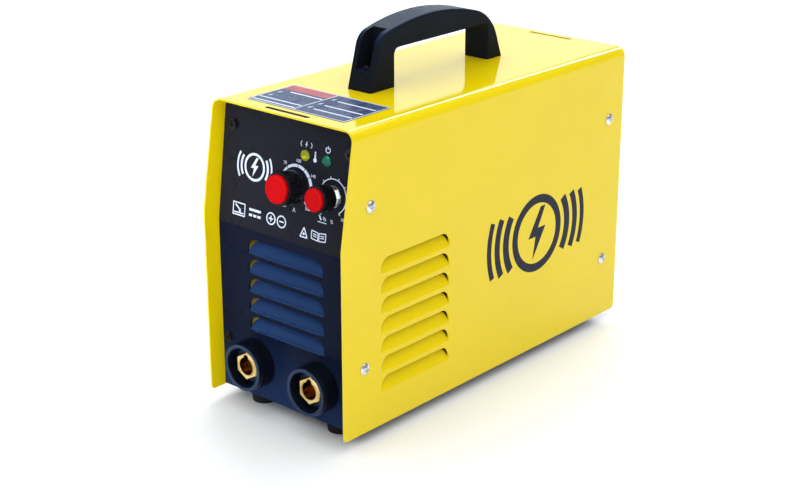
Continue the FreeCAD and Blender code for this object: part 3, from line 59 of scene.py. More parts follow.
MM = 0.001
COVER_LOW, COVER_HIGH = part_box("cover")
FRONT = COVER_LOW.y
BASE = COVER_LOW.z
WALL = COVER_HIGH.x
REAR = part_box("rear_panel")[1].y
# The front panel stands upright up to its crease and leans back above it. CREASE is the crease's height
# over the cover's lower edge and RECESS its depth behind the cover's front edge, both in mm.
CREASE = 126.0
RECESS = 12.9
LEAN = math.radians(7.3)
PANEL_FOOT = Vector((0, FRONT + RECESS * MM, BASE + CREASE * MM))
PANEL_UP = Vector((0, math.sin(LEAN), math.cos(LEAN)))
PANEL_OUT = Vector((0, -math.cos(LEAN), math.sin(LEAN)))
# Where the pointer of each knob starts, in degrees counter-clockwise from the right
CURRENT_START = 240
FORCE_START = 232.5


# ---------------------------------------------------------------- materials


def rgb(red, green, blue):
    return (red, green, blue, 1.0)


class Look:
    """A material. Each call adds one node and gives back its main output."""

    def __init__(self, name, **sockets):
        self.material = bpy.data.materials.new("look_" + name)
        self.material.use_nodes = True
        self.tree = self.material.node_tree
        self.shader = self.tree.nodes["Principled BSDF"]
        for word, value in sockets.items():
            self.shader.inputs[word.replace("_", " ")].default_value = value
        self.where = self.add("TexCoord", pick="Object")

    def add(self, kind, *values, pick=0, **settings):
        node = self.tree.nodes.new("ShaderNode" + kind)
        for word, value in settings.items():
            setattr(node, word, value)
        for index, value in enumerate(values):
            self.feed(node.inputs[index], value)
        return node.outputs[pick]

    def feed(self, socket, value):
        if isinstance(value, bpy.types.NodeSocket):
            self.tree.links.new(value, socket)
        elif value is not None:
            socket.default_value = value

    def drive(self, word, value):
        self.feed(self.shader.inputs[word], value)

    def math(self, operation, first, second=None):
        return self.add("Math", first, second, operation=operation)

    def product(self, first, *others):
        for other in others:
            first = self.math("MULTIPLY", first, other)
        return first

    def mix(self, share, first, second):
        node = self.tree.nodes.new("ShaderNodeMix")
        node.data_type = "RGBA"
        for index, value in ((0, share), (6, first), (7, second)):
            self.feed(node.inputs[index], value)
        return node.outputs[2]

    def spread(self, value, low, high, start=0.0, end=1.0):
        """value, taken from low..high to start..end and held there outside it."""
        return self.add("MapRange", value, low, high, start, end)

    def noise(self, scale, detail, where=None):
        return self.add("TexNoise", where or self.where, None, scale, detail)

    def waves(self, value, pitch_mm):
        """A sine of a length in metres, one wave to each pitch."""
        return self.math("SINE", self.product(value, 2 * math.pi / (pitch_mm * MM)))

    def facing(self):
        """The x, y and z parts of the surface's direction."""
        split = self.tree.nodes.new("ShaderNodeSeparateXYZ")
        self.feed(split.inputs[0], self.add("NewGeometry", pick="Normal"))
        return split.outputs

    def stretched(self, x, y, z):
        """Coordinates in metres, multiplied along each axis."""
        return self.add("VectorMath", self.where, (x, y, z), operation="MULTIPLY")

    def parts(self):
        """The x, y and z coordinates in metres."""
        split = self.tree.nodes.new("ShaderNodeSeparateXYZ")
        self.feed(split.inputs[0], self.where)
        return split.outputs

    def bump(self, height, depth_mm, normal):
        strength, filter_width = 1.0, 0.1
        return self.add("Bump", strength, depth_mm * MM, filter_width, height, normal)


def surface(
    name, dark, light, rough, cloud=28.0, grain=900.0, depth=0.03, edge=0.35, wear=0.0, **sockets
):
    """A base for most finishes: clouded colour, uneven gloss, fine grain and softened edges.

    cloud and grain are noise scales per metre, depth and edge are in mm, and the edge lightening share
    paints edges lighter, partly as wear and partly as a painted edge highlight."""
    look = Look(name, **sockets)
    patch = look.noise(cloud, 4.0)
    colour = look.mix(look.spread(patch, 0.3, 0.7), rgb(*dark), rgb(*light))
    soft = look.add("Bevel", edge * MM, samples=4)
    # Edges lightened partly as wear and partly as a painted edge highlight
    if wear:
        plain = look.add("NewGeometry", pick="Normal")
        likeness = look.add("VectorMath", soft, plain, operation="DOT_PRODUCT", pick="Value")
        rim = look.spread(likeness, 0.995, 0.86, 0.0, wear)
        colour = look.mix(rim, colour, rgb(*(min(1.0, c * 1.25 + 0.06) for c in light)))
    look.drive("Base Color", colour)
    gloss = look.noise(cloud * 5.0, 5.0)
    look.drive("Roughness", look.spread(gloss, 0.3, 0.7, rough[0], rough[1]))
    fine = look.noise(grain, 3.0)
    look.drive("Normal", look.bump(fine, depth, soft))
    look.colour = colour
    look.soft = soft
    look.fine = fine
    return look


def cover_paint():
    """Glossy yellow powder coat with a light orange peel."""
    look = surface(
        "cover_paint", (0.78, 0.585, 0.0008), (0.81, 0.610, 0.0014), (0.045, 0.085), cloud=14.0,
        grain=620.0, depth=0.004, edge=0.45, wear=0.2, Specular_IOR_Level=0.33,
        Coat_Weight=0.10, Coat_Roughness=0.02,
    )
    # Painted shade: the cut walls inside the long slot at the front of the roof are painted near black,
    # for the shade down in the slot
    across, along, height = look.parts()
    below = look.spread(height, COVER_HIGH.z - 0.15 * MM, COVER_HIGH.z - 0.05 * MM, 1.0, 0.0)
    above = look.spread(height, COVER_HIGH.z - 1.6 * MM, COVER_HIGH.z - 1.4 * MM)
    before = look.spread(along, FRONT + 24 * MM, FRONT + 25 * MM, 1.0, 0.0)
    behind = look.spread(along, FRONT + 15.6 * MM, FRONT + 15.8 * MM)
    upright = look.spread(look.math("ABSOLUTE", look.facing()[2]), 0.3, 0.5, 1.0, 0.0)
    inside = look.spread(look.math("ABSOLUTE", across), 23 * MM, 24 * MM, 1.0, 0.0)
    slot_shade = look.product(below, above, before, behind, upright, inside)
    look.drive("Base Color", look.mix(slot_shade, look.colour, rgb(0.012, 0.011, 0.010)))
    return look


def panel_paint():
    """Satin navy paint below the crease; above it the panel carries a charcoal printed film."""
    look = surface(
        "panel_paint", (0.0034, 0.0058, 0.0175), (0.0048, 0.0080, 0.0240), (0.26, 0.34), cloud=20.0,
        grain=700.0, depth=0.006, edge=0.3, Specular_IOR_Level=0.03,
    )
    # Painted sheen: faces that look upwards, such as the louvre flaps, are painted a brighter blue for the
    # bluish light they reflect
    upward_sheen = look.spread(look.facing()[2], 0.12, 0.45)
    blue = look.mix(look.fine, rgb(0.0150, 0.0400, 0.1200), rgb(0.0180, 0.0460, 0.1380))
    _, along, height = look.parts()
    # Painted reflection: up to 50 mm over the lower edge the paint is painted bluer, for the light of the
    # floor that it reflects
    low = look.spread(height, BASE, BASE + 50 * MM, 1.0, 0.0)
    paint = look.mix(upward_sheen, look.mix(low, look.colour, rgb(0.0095, 0.0240, 0.0760)), blue)
    # The film is on the front panel only: the rear panel has the same paint, behind the middle
    above = look.spread(height, BASE + (CREASE - 1.0) * MM, BASE + (CREASE - 0.4) * MM)
    front_half = look.spread(along, 0.0, 10 * MM, 1.0, 0.0)
    speck = look.noise(2600.0, 2.0)
    film = look.mix(speck, rgb(0.0125, 0.0125, 0.0195), rgb(0.0155, 0.0155, 0.0235))
    look.drive("Base Color", look.mix(look.product(above, front_half), paint, film))
    return look


def moulded(name, dark, light, rough, **sockets):
    """Moulded plastic with a spark-eroded grain."""
    settings = {"cloud": 35.0, "grain": 1900.0, "depth": 0.035, "edge": 0.4, "wear": 0.12}
    return surface(name, dark, light, rough, **{**settings, **sockets})


def metal(name, dark, light, rough, **sockets):
    """Bare or plated metal with fine scratches in two directions."""
    settings = {"cloud": 90.0, "grain": 1500.0, "depth": 0.006, "edge": 0.25}
    look = surface(name, dark, light, rough, Metallic=1.0, **{**settings, **sockets})
    along = look.noise(420.0, 4.0, look.stretched(1.0, 9.0, 1.0))
    across = look.noise(420.0, 4.0, look.stretched(9.0, 1.0, 1.0))
    look.drive("Normal", look.bump(look.product(along, across), 0.02, look.soft))
    return look


def brass():
    """Turned brass: fine rings round the axis of each socket, and a darker, more orange bore with painted
    shade.
    """
    look = metal("brass", (0.56, 0.39, 0.13), (0.82, 0.60, 0.24), (0.10, 0.18))
    x, _, z = look.parts()
    low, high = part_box("socket_inserts")
    half = (high.z - low.z) / 2
    aside = look.math("SUBTRACT", look.math("ABSOLUTE", x), high.x - half)
    up = look.math("SUBTRACT", z, low.z + half)
    square = look.math("ADD", look.product(aside, aside), look.product(up, up))
    reach = look.math("SQRT", square)
    look.drive("Normal", look.bump(look.waves(reach, 0.45), 0.006, look.soft))
    # Painted shade: the bore is painted darker and more orange, for the shade inside it
    bore = look.spread(reach, 6.3 * MM, 7.2 * MM)
    look.drive("Base Color", look.mix(bore, rgb(0.50, 0.33, 0.10), look.colour))
    return look


def socket_plastic():
    """Glossy nearly black plastic, with a painted navy sheen on the faces that look forwards."""
    look = moulded(
        "socket_plastic", (0.0030, 0.0036, 0.0070), (0.0044, 0.0054, 0.0100), (0.10, 0.18), depth=0.008,
        Specular_IOR_Level=0.30, Specular_Tint=(0.45, 0.70, 1.0, 1.0),
    )
    # Painted sheen: faces that look forwards get a navy colour for the bluish light they reflect
    front = look.spread(look.facing()[1], -0.9, -0.3, 1.0, 0.0)
    navy = look.mix(look.fine, rgb(0.0075, 0.0180, 0.0520), rgb(0.0100, 0.0230, 0.0640))
    look.drive("Base Color", look.mix(front, look.colour, navy))
    return look


def handle_plastic():
    """Moulded plastic, with a painted blue sheen where it looks upwards."""
    look = moulded(
        "handle_plastic", (0.0058, 0.0070, 0.0110), (0.0084, 0.0100, 0.0155), (0.34, 0.44), depth=0.02,
        Specular_IOR_Level=0.06, Specular_Tint=(0.45, 0.70, 1.0, 1.0),
    )
    # Painted sheen: faces that look upwards are painted bluer for the bluish light they reflect
    upward_sheen = look.spread(look.facing()[2], 0.3, 0.8)
    blue = look.mix(look.fine, rgb(0.0062, 0.0125, 0.0330), rgb(0.0084, 0.0160, 0.0410))
    look.drive("Base Color", look.mix(upward_sheen, look.colour, blue))
    return look


def winding(name, dark, light, pitch):
    """Enamelled wire laid turn by turn."""
    look = surface(name, dark, light, (0.2, 0.3), Metallic=0.85, edge=0.3)
    look.drive("Normal", look.bump(look.waves(look.parts()[2], pitch), 0.25, look.soft))
    return look


def circuit_board():
    """Green solder mask over copper tracks, with tinned pads."""
    look = surface("circuit_board", (0.004, 0.055, 0.018), (0.007, 0.085, 0.028), (0.25, 0.35), edge=0.1)
    tracks = look.add(
        "TexVoronoi", look.where, None, 190.0, feature="DISTANCE_TO_EDGE", distance="MANHATTAN"
    )
    line = look.spread(tracks, 0.03, 0.06, 1.0, 0.0)
    pads = look.add("TexVoronoi", look.where, None, 260.0)
    dots = look.spread(pads, 0.10, 0.13, 1.0, 0.0)
    green = look.mix(line, look.colour, rgb(0.012, 0.14, 0.045))
    look.drive("Base Color", look.mix(dots, green, rgb(0.62, 0.60, 0.55)))
    return look


def label_film():
    """Dark slate film with rows of print too small to read."""
    look = surface(
        "label_film", (0.018, 0.032, 0.088), (0.025, 0.043, 0.112), (0.30, 0.40), edge=0.1,
        grain=600.0, depth=0.003, Specular_IOR_Level=0.06,
    )
    _, y, z = look.parts()
    rows = look.waves(look.math("ADD", y, z), 1.9)
    letters = look.noise(1500.0, 1.0, look.stretched(1.0, 0.35, 0.35))
    words = look.noise(110.0, 1.0, look.stretched(1.0, 0.2, 0.2))
    strength = 0.3
    lines = look.spread(rows, 0.1, 0.4)
    ink = look.product(lines, look.spread(letters, 0.46, 0.54), look.spread(words, 0.36, 0.42), strength)
    look.drive("Base Color", look.mix(ink, look.colour, rgb(0.50, 0.58, 0.75)))
    return look


def lens(name, dark, light):
    """Tinted clear plastic with moulded facets inside."""
    look = surface(
        name, dark, light, (0.05, 0.10), cloud=240.0, grain=500.0, depth=0.01, edge=0.1,
        Transmission_Weight=0.12, IOR=1.49, Coat_Weight=0.1, Coat_Roughness=0.04, Specular_IOR_Level=0.25,
    )
    cells = look.add("TexVoronoi", look.where, None, 420.0)
    look.drive("Base Color", look.mix(look.spread(cells, 0.1, 0.6), rgb(*light), rgb(*dark)))
    return look


def print_ink(name, dark, light):
    """Screen-printed ink, slightly raised and uneven in cover."""
    return surface(
        name, dark, light, (0.34, 0.44), cloud=160.0, grain=2400.0, depth=0.006, edge=0.05,
        Specular_IOR_Level=0.15,
    )


LOOKS = {
    "cover_paint": cover_paint(),
    "panel_paint": panel_paint(),
    "handle_plastic": handle_plastic(),
    "zinc": metal("zinc", (0.66, 0.68, 0.72), (0.82, 0.83, 0.85), (0.20, 0.32)),
    "black_screw": metal("black_screw", (0.018, 0.019, 0.024), (0.045, 0.047, 0.055), (0.24, 0.34)),
    "foot_rubber": moulded(
        "foot_rubber", (0.0045, 0.0045, 0.0060), (0.0070, 0.0070, 0.0090), (0.6, 0.75), wear=0.05,
        Specular_IOR_Level=0.15,
    ),
    "knob_plastic": moulded(
        "knob_plastic", (0.0040, 0.0040, 0.0062), (0.0060, 0.0060, 0.0090), (0.22, 0.30), depth=0.004,
        Specular_IOR_Level=0.16, Specular_Tint=(0.6, 0.75, 1.0, 1.0),
    ),
    "cap_plastic": moulded(
        "cap_plastic", (0.47, 0.0008, 0.0024), (0.55, 0.0016, 0.0036), (0.30, 0.40), depth=0.008,
        wear=0.3, Specular_IOR_Level=0.05,
    ),
    "fault_lens": lens("fault_lens", (0.26, 0.30, 0.001), (0.62, 0.68, 0.004)),
    "power_lens": lens("power_lens", (0.0005, 0.120, 0.074), (0.001, 0.36, 0.24)),
    "package_plastic": moulded(
        "package_plastic", (0.010, 0.010, 0.011), (0.018, 0.018, 0.020), (0.45, 0.55)
    ),
    "circuit_board": circuit_board(),
    "socket_plastic": socket_plastic(),
    "brass": brass(),
    "copper": winding("copper", (0.52, 0.15, 0.05), (0.72, 0.26, 0.10), 1.6),
    "insulator": surface("insulator", (0.55, 0.50, 0.38), (0.65, 0.60, 0.46), (0.4, 0.5)),
    "fan_plastic": moulded("fan_plastic", (0.009, 0.009, 0.010), (0.015, 0.015, 0.017), (0.34, 0.44)),
    "guard_wire": metal("guard_wire", (0.60, 0.62, 0.65), (0.76, 0.78, 0.80), (0.16, 0.24)),
    "switch_plastic": moulded(
        "switch_plastic", (0.009, 0.009, 0.010), (0.014, 0.014, 0.016), (0.24, 0.34)
    ),
    "rocker_plastic": moulded("rocker_plastic", (0.42, 0.006, 0.006), (0.55, 0.010, 0.010), (0.20, 0.30)),
    "gland_plastic": moulded("gland_plastic", (0.011, 0.011, 0.012), (0.018, 0.018, 0.020), (0.34, 0.44)),
    "aluminium": metal("aluminium", (0.66, 0.67, 0.68), (0.78, 0.79, 0.80), (0.30, 0.42)),
    "ferrite": surface(
        "ferrite", (0.020, 0.020, 0.022), (0.034, 0.034, 0.037), (0.5, 0.65), grain=2400.0, depth=0.05
    ),
    "capacitor_sleeve": moulded(
        "capacitor_sleeve", (0.010, 0.014, 0.045), (0.016, 0.022, 0.065), (0.2, 0.3)
    ),
    "relay_case": moulded("relay_case", (0.010, 0.030, 0.110), (0.016, 0.045, 0.150), (0.25, 0.35)),
    "label_film": label_film(),
}
INK_WHITE = print_ink("ink_white", (0.60, 0.68, 0.86), (0.70, 0.78, 0.95))
INK_NAVY = print_ink("ink_navy", (0.0065, 0.0085, 0.0200), (0.0100, 0.0130, 0.0290))
INK_RED = print_ink("ink_red", (0.34, 0.045, 0.055), (0.44, 0.070, 0.080))

for node in frame["nodes"].values():
    for place in node.material_slots:
        place.material = LOOKS[place.material.name.split(".")[0]].material


# ---------------------------------------------------------------- printed graphics


class Print:
    """Flat printed shapes on a plane, each a thin closed prism from LOW to HIGH over it, all in mm."""

    LOW, HIGH = 0.01, 0.06

    def __init__(self, origin, across, up):
        across, up = Vector(across), Vector(up)
        axes = Matrix((across, up, across.cross(up))).transposed().to_4x4()
        self.place = Matrix.Translation(origin) @ axes @ Matrix.Scale(MM, 4)
        self.mesh = bmesh.new()

    def shape(self, points):
        low, high = (
            [self.mesh.verts.new(self.place @ Vector((x, y, level))) for x, y in points]
            for level in (self.LOW, self.HIGH)
        )
        self.mesh.faces.new(high)
        self.mesh.faces.new(low[::-1])
        for index in range(len(points)):
            after = (index + 1) % len(points)
            self.mesh.faces.new((low[index], low[after], high[after], high[index]))

    def block(self, x0, x1, y0, y1):
        self.shape([(x0, y0), (x1, y0), (x1, y1), (x0, y1)])

    def line(self, x0, y0, x1, y1, width):
        length = math.hypot(x1 - x0, y1 - y0)
        dx, dy = (x1 - x0) / length * width / 2, (y1 - y0) / length * width / 2
        self.shape([(x0 + dy, y0 - dx), (x1 + dy, y1 - dx), (x1 - dy, y1 + dx), (x0 - dy, y0 + dx)])

    def outline(self, corners, width):
        for start, stop in zip(corners, corners[1:] + corners[:1]):
            self.line(*start, *stop, width)

    def band(self, x, y, radius, start, end, width, end_width=None):
        """An arc of changing width, counter-clockwise from start to end in degrees."""
        end_width = end_width or width
        degrees_a_step = 3
        count = max(3, int(abs(end - start) / degrees_a_step))
        outer, inner = [], []
        for index in range(count + 1):
            share = index / count
            angle = math.radians(start + (end - start) * share)
            half = (width + (end_width - width) * share) / 2
            for edge, reach in ((outer, radius + half), (inner, radius - half)):
                edge.append((x + reach * math.cos(angle), y + reach * math.sin(angle)))
        self.shape(outer + inner[::-1])

    def ring(self, x, y, radius, width):
        self.band(x, y, radius, 90, 270, width)
        self.band(x, y, radius, -90, 90, width)

    def disc(self, x, y, radius):
        sides = 24
        turns = [2 * math.pi * side / sides for side in range(sides)]
        self.shape([(x + radius * math.cos(turn), y + radius * math.sin(turn)) for turn in turns])

    def frame(self, x0, x1, y0, y1, width):
        self.block(x0, x1, y0, y0 + width)
        self.block(x0, x1, y1 - width, y1)
        self.block(x0, x0 + width, y0 + width, y1 - width)
        self.block(x1 - width, x1, y0 + width, y1 - width)

    def bolt(self, x, y, tall):
        """A lightning flash, of the height tall."""
        path = (
            (0.10, 0.5), (-0.26, -0.06), (-0.04, -0.06), (-0.12, -0.5), (0.26, 0.10), (0.03, 0.10),
            (0.24, 0.5),
        )
        self.shape([(x + tall * u, y + tall * v) for u, v in path])

    def text(self, words, x, y, tall):
        """Figures or signs, centred on a point; tall is the height of a figure."""
        figure_share = 0.7
        glyphs = bpy.data.curves.new("glyphs", "FONT")
        glyphs.body = words
        glyphs.size = tall / figure_share
        glyphs.align_x, glyphs.align_y = "CENTER", "CENTER"
        glyphs.extrude = (self.HIGH - self.LOW) / 2
        glyphs.resolution_u = 4
        carrier = bpy.data.objects.new("glyphs", glyphs)
        mesh = bpy.data.meshes.new_from_object(carrier)
        mesh.transform(self.place @ Matrix.Translation((x, y, (self.HIGH + self.LOW) / 2)))
        self.mesh.from_mesh(mesh)
        bpy.data.objects.remove(carrier)
        bpy.data.curves.remove(glyphs)
        bpy.data.meshes.remove(mesh)

    def finish(self, name, ink, body="chassis"):
        bmesh.ops.recalc_face_normals(self.mesh, faces=self.mesh.faces)
        mesh = bpy.data.meshes.new(name)
        self.mesh.to_mesh(mesh)
        self.mesh.free()
        mesh.materials.append(ink.material)
        piece = bpy.data.objects.new(name, mesh)
        bpy.context.scene.collection.objects.link(piece)
        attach(piece, body)


def raised(z):
    """Distance along the leaning panel, from its crease to a height above the cover's lower edge."""
    return (z - CREASE) / math.cos(LEAN)


def dial_place(word):
    """Where a knob's joint crosses the panel: mm to the right, and mm up it from the crease."""
    joint = next(joint for joint in frame["joints"] if joint["name"] == f"{word}_knob_turn")
    place = Vector(joint["pos_m"]) - PANEL_FOOT
    return place.x / MM, place.dot(PANEL_UP) / MM


def current_dial(ink):
    """A wedge-shaped band with a gap at each mark, its figures, and the sign of its unit.

    The mark at 120 has a gap but no figure."""
    x, y = dial_place("current")
    marks = (
        (20, CURRENT_START), (40, 180), (70, 127), (100, 86.5), (120, 61), (140, 34.5), (170, -6),
        (200, -48),
    )
    sweep = CURRENT_START - marks[-1][1]
    radius, gap, thin, growth = 14.0, 1.2, 1.0, 2.0
    for (_, first), (_, last) in zip(marks, marks[1:]):
        ends = (last + gap, first - gap)
        widths = [thin + growth * (CURRENT_START - angle) / sweep for angle in ends]
        ink.band(x, y, radius, *ends, *widths)
    for number, angle in marks:
        if number != 120:
            turn = math.radians(angle)
            ink.text(str(number), x + 18.3 * math.cos(turn), y + 17.4 * math.sin(turn), 2.2)
    ink.text("A", x, y - 16.3, 2.9)


def force_dial(ink):
    """A thin arc with outward ticks from 0 to 10."""
    x, y = dial_place("force")
    sweep, gaps, thick = 290.0, 9, 0.7
    ink.band(x, y, 11.7, FORCE_START - sweep, FORCE_START, thick)
    for step in range(gaps + 1):
        turn = math.radians(FORCE_START - sweep / gaps * step)
        foot, tip = [(x + reach * math.cos(turn), y + reach * math.sin(turn)) for reach in (11.6, 13.4)]
        ink.line(*foot, *tip, thick)
    ink.text("10", x + 9.6, y - 13.6, 2.2)
    ink.text("0", x - 9.8, y - 13.2, 2.2)


def electrode_sign(ink):
    """An electrode tip with its arc, and the percent sign, under the force dial."""
    ink.shape([(29.6, raised(149.4)), (31.0, raised(149.4)), (32.6, raised(146.6)), (31.6, raised(146.2))])
    ink.band(33.2, raised(145.6), 2.2, 20, 80, 0.5)
    ink.band(33.2, raised(145.6), 3.4, 20, 80, 0.5)
    ink.line(29.2, raised(145.0), 37.2, raised(145.0), 0.5)
    ink.text("%", 41.6, raised(147.2), 2.6)


def lamp_signs(ink):
    """Signs over the lamps, and a thermometer between them."""
    y = raised(193.2)
    fault, power, thermometer = 14.4, 33.8, 22.9
    ink.bolt(fault, y, 4.2)
    ink.band(fault - 3.0, y, 2.0, 120, 240, 0.5)
    ink.band(fault + 3.0, y, 2.0, -60, 60, 0.5)
    ink.band(power, y, 1.9, -240, 60, 0.6)
    ink.line(power, y + 0.4, power, y + 2.6, 0.6)
    ink.disc(thermometer, raised(184.4), 1.5)
    ink.block(thermometer - 0.6, thermometer + 0.6, raised(185.2), raised(188.4))
    ink.disc(thermometer, raised(189.4), 0.7)


def badge(ink):
    """A flash in a ring, with two arcs on each side."""
    x, y = -32.0, raised(168.6)
    ink.ring(x, y, 8.9, 1.7)
    ink.bolt(x, y, 13.4)
    for radius, width in ((12.6, 1.8), (16.2, 1.5)):
        ink.band(x, y, radius, -32, 32, width)
        ink.band(x, y, radius, 148, 212, width)


def welding_signs(ink):
    """Electrode welding in a frame, direct current, and the plus and minus poles."""
    low, high = raised(132.6), raised(141.8)
    middle = (low + high) / 2
    ink.frame(-50.5, -38.5, low, high, 0.8)
    ink.line(-48.0, high - 1.8, -44.2, middle + 0.1, 1.1)
    ink.shape([(-44.4, middle - 0.3), (-43.0, middle + 0.5), (-42.6, low + 2.4), (-44.6, low + 2.4)])
    ink.line(-49.0, low + 2.0, -40.0, low + 2.0, 0.9)
    ink.block(-34.6, -23.4, middle + 1.2, middle + 2.9)
    for left in (-34.6, -30.5, -26.4):
        ink.block(left, left + 3.0, middle - 2.6, middle - 0.9)
    plus, minus, arm = -13.6, -3.6, 2.0
    for pole in (plus, minus):
        ink.ring(pole, middle, 3.9, 0.9)
        ink.line(pole - arm, middle, pole + arm, middle, 0.9)
    ink.line(plus, middle - arm, plus, middle + arm, 0.9)


def reading_signs(ink):
    """A triangle and an open book."""
    low, high = raised(131.6), raised(138.2)
    ink.outline([(14.2, low), (20.8, low), (17.5, high)], 0.8)
    ink.disc(17.5, low + 2.3, 0.9)
    spine = 30.9
    for side in (-1, 1):
        fold, rim = spine + side * 0.5, spine + side * 6.4
        ink.outline([(fold, low + 0.2), (rim, low + 1.0), (rim, high - 0.2), (fold, high - 1.0)], 0.7)
        for y in (low + 2.6, low + 4.0):
            ink.line(spine + side * 1.8, y, spine + side * 5.0, y + 0.4, 0.6)


def panel_print():
    """Everything in white on the front panel's film."""
    ink = Print(PANEL_FOOT, (1, 0, 0), PANEL_UP)
    dials = (current_dial, force_dial)
    signs = (electrode_sign, lamp_signs, badge, welding_signs, reading_signs)
    for draw in dials + signs:
        draw(ink)
    ink.finish("panel_print", INK_WHITE)


def side_emblems():
    """A large round emblem on each side: a flash in a ring, with arcs spreading from it."""
    for side, across in (("right", 1), ("left", -1)):
        origin = Vector((across * WALL, FRONT + 210 * MM, BASE + 92 * MM))
        ink = Print(origin, (0, across, 0), (0, 0, 1))
        ink.ring(0, 0, 26.5, 6.4)
        ink.bolt(0, 0, 40)
        for radius, width, reach in ((37.4, 6.8, 33), (47.6, 6.0, 27), (56.9, 5.0, 22)):
            ink.band(0, 0, radius, -reach, reach, width)
            ink.band(0, 0, radius, 180 - reach, 180 + reach, width)
        ink.finish(f"emblem_{side}", INK_NAVY)


def top_label_print():
    """Border, divider, bars, small flashes and header block of the label on top of the cover."""
    origin = Vector((0, FRONT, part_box("top_label")[1].z))
    ink = Print(origin, (1, 0, 0), (0, 1, 0))
    ink.frame(-44.6, 44.6, 25.4, 70.6, 0.8)
    ink.block(-2.5, -1.7, 26.2, 69.8)
    left_bars = ((-33, -3.6, 55.4), (-43, -3.6, 35.6), (-43, -3.6, 29))
    right_bars = ((8, 42, 58.6), (8, 42, 46), (8, 42, 35.4))
    for left, right, y in left_bars + right_bars:
        ink.block(left, right, y - 0.8, y + 0.8)
    for x, y in ((-39, 51), (-39, 42), (3, 60), (3, 47), (3, 37)):
        ink.bolt(x, y, 5.0)
    ink.finish("top_label_print", INK_WHITE)
    header = Print(origin, (1, 0, 0), (0, 1, 0))
    header.block(-43.6, -2.7, 59, 69.6)
    header.finish("top_label_header", INK_RED)


def rear_label_print():
    """Border, rows and columns of the rating label on the rear panel."""
    ink = Print(Vector((0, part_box("rear_label")[1].y, BASE)), (-1, 0, 0), (0, 0, 1))
    ink.frame(-26.6, 26.6, 188.4, 203.6, 0.6)
    for z in (192.2, 196.0, 199.8):
        ink.block(-25.6, 25.6, z - 0.2, z + 0.2)
    for x in (-12, 4):
        ink.block(x - 0.2, x + 0.2, 189.0, 203.0)
    ink.finish("rear_label_print", INK_WHITE)


def rear_panel_signs():
    """On and off signs beside the switch, and the earth sign under its stud."""
    signs = Print(Vector((0, REAR, BASE)), (-1, 0, 0), (0, 0, 1))
    switch_low, switch_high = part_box("power_switch_housing")
    beside = -switch_high.x / MM - 4.0
    bottom, top = (switch_low.z - BASE) / MM, (switch_high.z - BASE) / MM
    quarter = (top - bottom) / 4
    signs.block(beside - 0.45, beside + 0.45, top - quarter - 2.3, top - quarter + 2.3)
    signs.ring(beside, bottom + quarter, 1.9, 0.9)
    stud_low, stud_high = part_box("earth_stud")
    x, z = -(stud_low.x + stud_high.x) / 2 / MM, (stud_low.z - BASE) / MM - 4
    signs.line(x, z + 2.4, x, z, 0.7)
    for drop, half in ((0, 3.0), (-1.4, 2.0), (-2.8, 1.0)):
        signs.line(x - half, z + drop, x + half, z + drop, 0.6)
    signs.finish("rear_panel_signs", INK_WHITE)


def knob_pointers():
    """A white line along the side of each knob, showing where it is set."""
    sunk, half, top = 0.02, 0.6, 16.4
    knobs = (("current", 11.4, 3.6, CURRENT_START), ("force", 9.1, 7.0, FORCE_START))
    for word, radius, foot, start in knobs:
        x, y = dial_place(word)
        centre = PANEL_FOOT + Vector((x, 0, 0)) * MM + PANEL_UP * y * MM
        turn = math.radians(start)
        outward = Vector((math.cos(turn), 0, 0)) + PANEL_UP * math.sin(turn)
        mark = Print(centre + outward * (radius - sunk) * MM, PANEL_OUT.cross(outward), PANEL_OUT)
        mark.block(-half, half, foot, top)
        mark.finish(f"{word}_knob_mark", INK_WHITE, f"{word}_dial")


panel_print()
side_emblems()
top_label_print()
rear_label_print()
rear_panel_signs()
knob_pointers()


# ---------------------------------------------------------------- studio


def studio_floor():
    """Pale paper, a hair under the feet so that the two don't share a plane."""
    half_width, gap = 9.0, 0.2 * MM
    mesh = bmesh.new()
    bmesh.ops.create_grid(mesh, x_segments=8, y_segments=8, size=half_width)
    data = bpy.data.meshes.new("studio_floor")
    mesh.to_mesh(data)
    mesh.free()
    floor = bpy.data.objects.new("studio_floor", data)
    floor.location.z = cad_box[0].z - gap
    paper = surface(
        "floor_paper", (0.90, 0.90, 0.90), (0.93, 0.93, 0.93), (0.7, 0.8), cloud=3.0, grain=300.0,
        depth=0.05,
    )
    data.materials.append(paper.material)
    bpy.context.scene.collection.objects.link(floor)


def softbox(name, place, target, width, height, radiance, tint=(1, 1, 1), spread=180):
    """A rectangular soft light that the camera doesn't see; spread is its opening angle, in degrees."""
    data = bpy.data.lights.new(name, "AREA")
    data.shape = "RECTANGLE"
    data.size, data.size_y = width, height
    data.energy = radiance * math.pi * width * height
    data.color = tint
    data.spread = math.radians(spread)
    lamp = bpy.data.objects.new(name, data)
    lamp.location = place
    lamp.rotation_euler = (Vector(target) - Vector(place)).to_track_quat("-Z", "Y").to_euler()
    lamp.visible_camera = False
    bpy.context.scene.collection.objects.link(lamp)


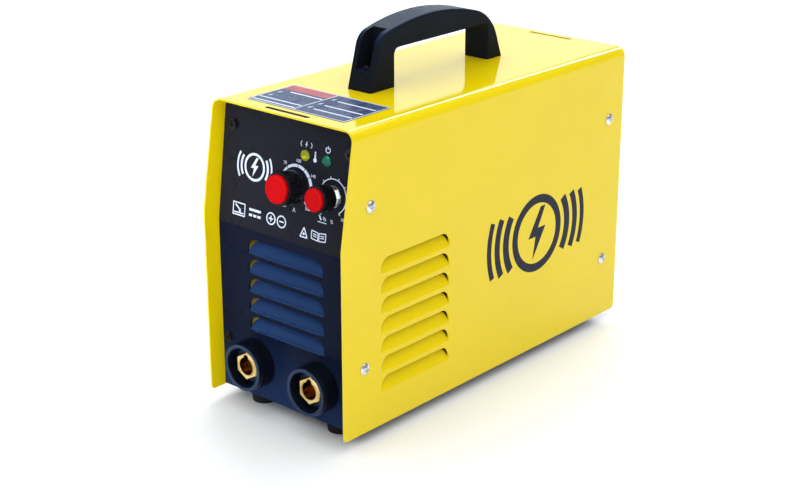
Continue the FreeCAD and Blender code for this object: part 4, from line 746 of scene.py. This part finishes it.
def studio():
    """A pale room and five softboxes: from above, the right, into the front recess, and two behind."""
    world = bpy.data.worlds.new("studio")
    world.use_nodes = True
    nodes, links = world.node_tree.nodes, world.node_tree.links
    sky = nodes["Background"]
    sky.inputs["Color"].default_value = rgb(0.90, 0.95, 1.0)
    # The room is pale at floor level and dims overhead, where the softboxes take over
    where = nodes.new("ShaderNodeTexCoord")
    split = nodes.new("ShaderNodeSeparateXYZ")
    fade = nodes.new("ShaderNodeMapRange")
    links.new(where.outputs["Generated"], split.inputs[0])
    links.new(split.outputs["Z"], fade.inputs["Value"])
    for socket, value in (("From Min", 0.02), ("From Max", 0.16), ("To Min", 0.88), ("To Max", 0.20)):
        fade.inputs[socket].default_value = value
    links.new(fade.outputs["Result"], sky.inputs["Strength"])
    bpy.context.scene.world = world
    middle, roof = (0, 0, 0.12), (0, 0, 0.2)
    left_flange = (COVER_LOW.x, FRONT, 0.13)
    cool = (0.86, 0.93, 1.0)
    softbox("overhead", (0.8, -1.0, 3.2), (0.8, -1.0, 0), 8.0, 8.0, 1.5, (0.97, 0.985, 1.0))
    softbox("key_right", (1.8, -1.9, 1.1), middle, 1.6, 1.6, 1.7)
    softbox("recess_fill", (0.33, -0.98, 0.20), left_flange, 0.10, 0.30, 0.85, spread=15)
    softbox("backdrop", (-2.2, 2.7, 1.15), roof, 4.2, 1.8, 1.25, cool)
    softbox("edge_strip", (-1.1, 2.1, 2.0), roof, 3.6, 0.14, 26.0, cool)


def camera():
    """The photograph's viewing angle, found from the straight edges of the case."""
    data = bpy.data.cameras.new("camera")
    data.sensor_width = 36.0
    data.lens = 74.66
    eye = bpy.data.objects.new("camera", data)
    azimuth, elevation = math.radians(41.08), math.radians(20.53)
    eye.location = (0.7445, -0.88435, 0.5173)
    eye.rotation_euler = (math.pi / 2 - elevation, 0, azimuth)
    bpy.context.scene.collection.objects.link(eye)
    bpy.context.scene.camera = eye


studio_floor()
studio()
camera()
bpy.context.scene.view_settings.view_transform = "Standard"
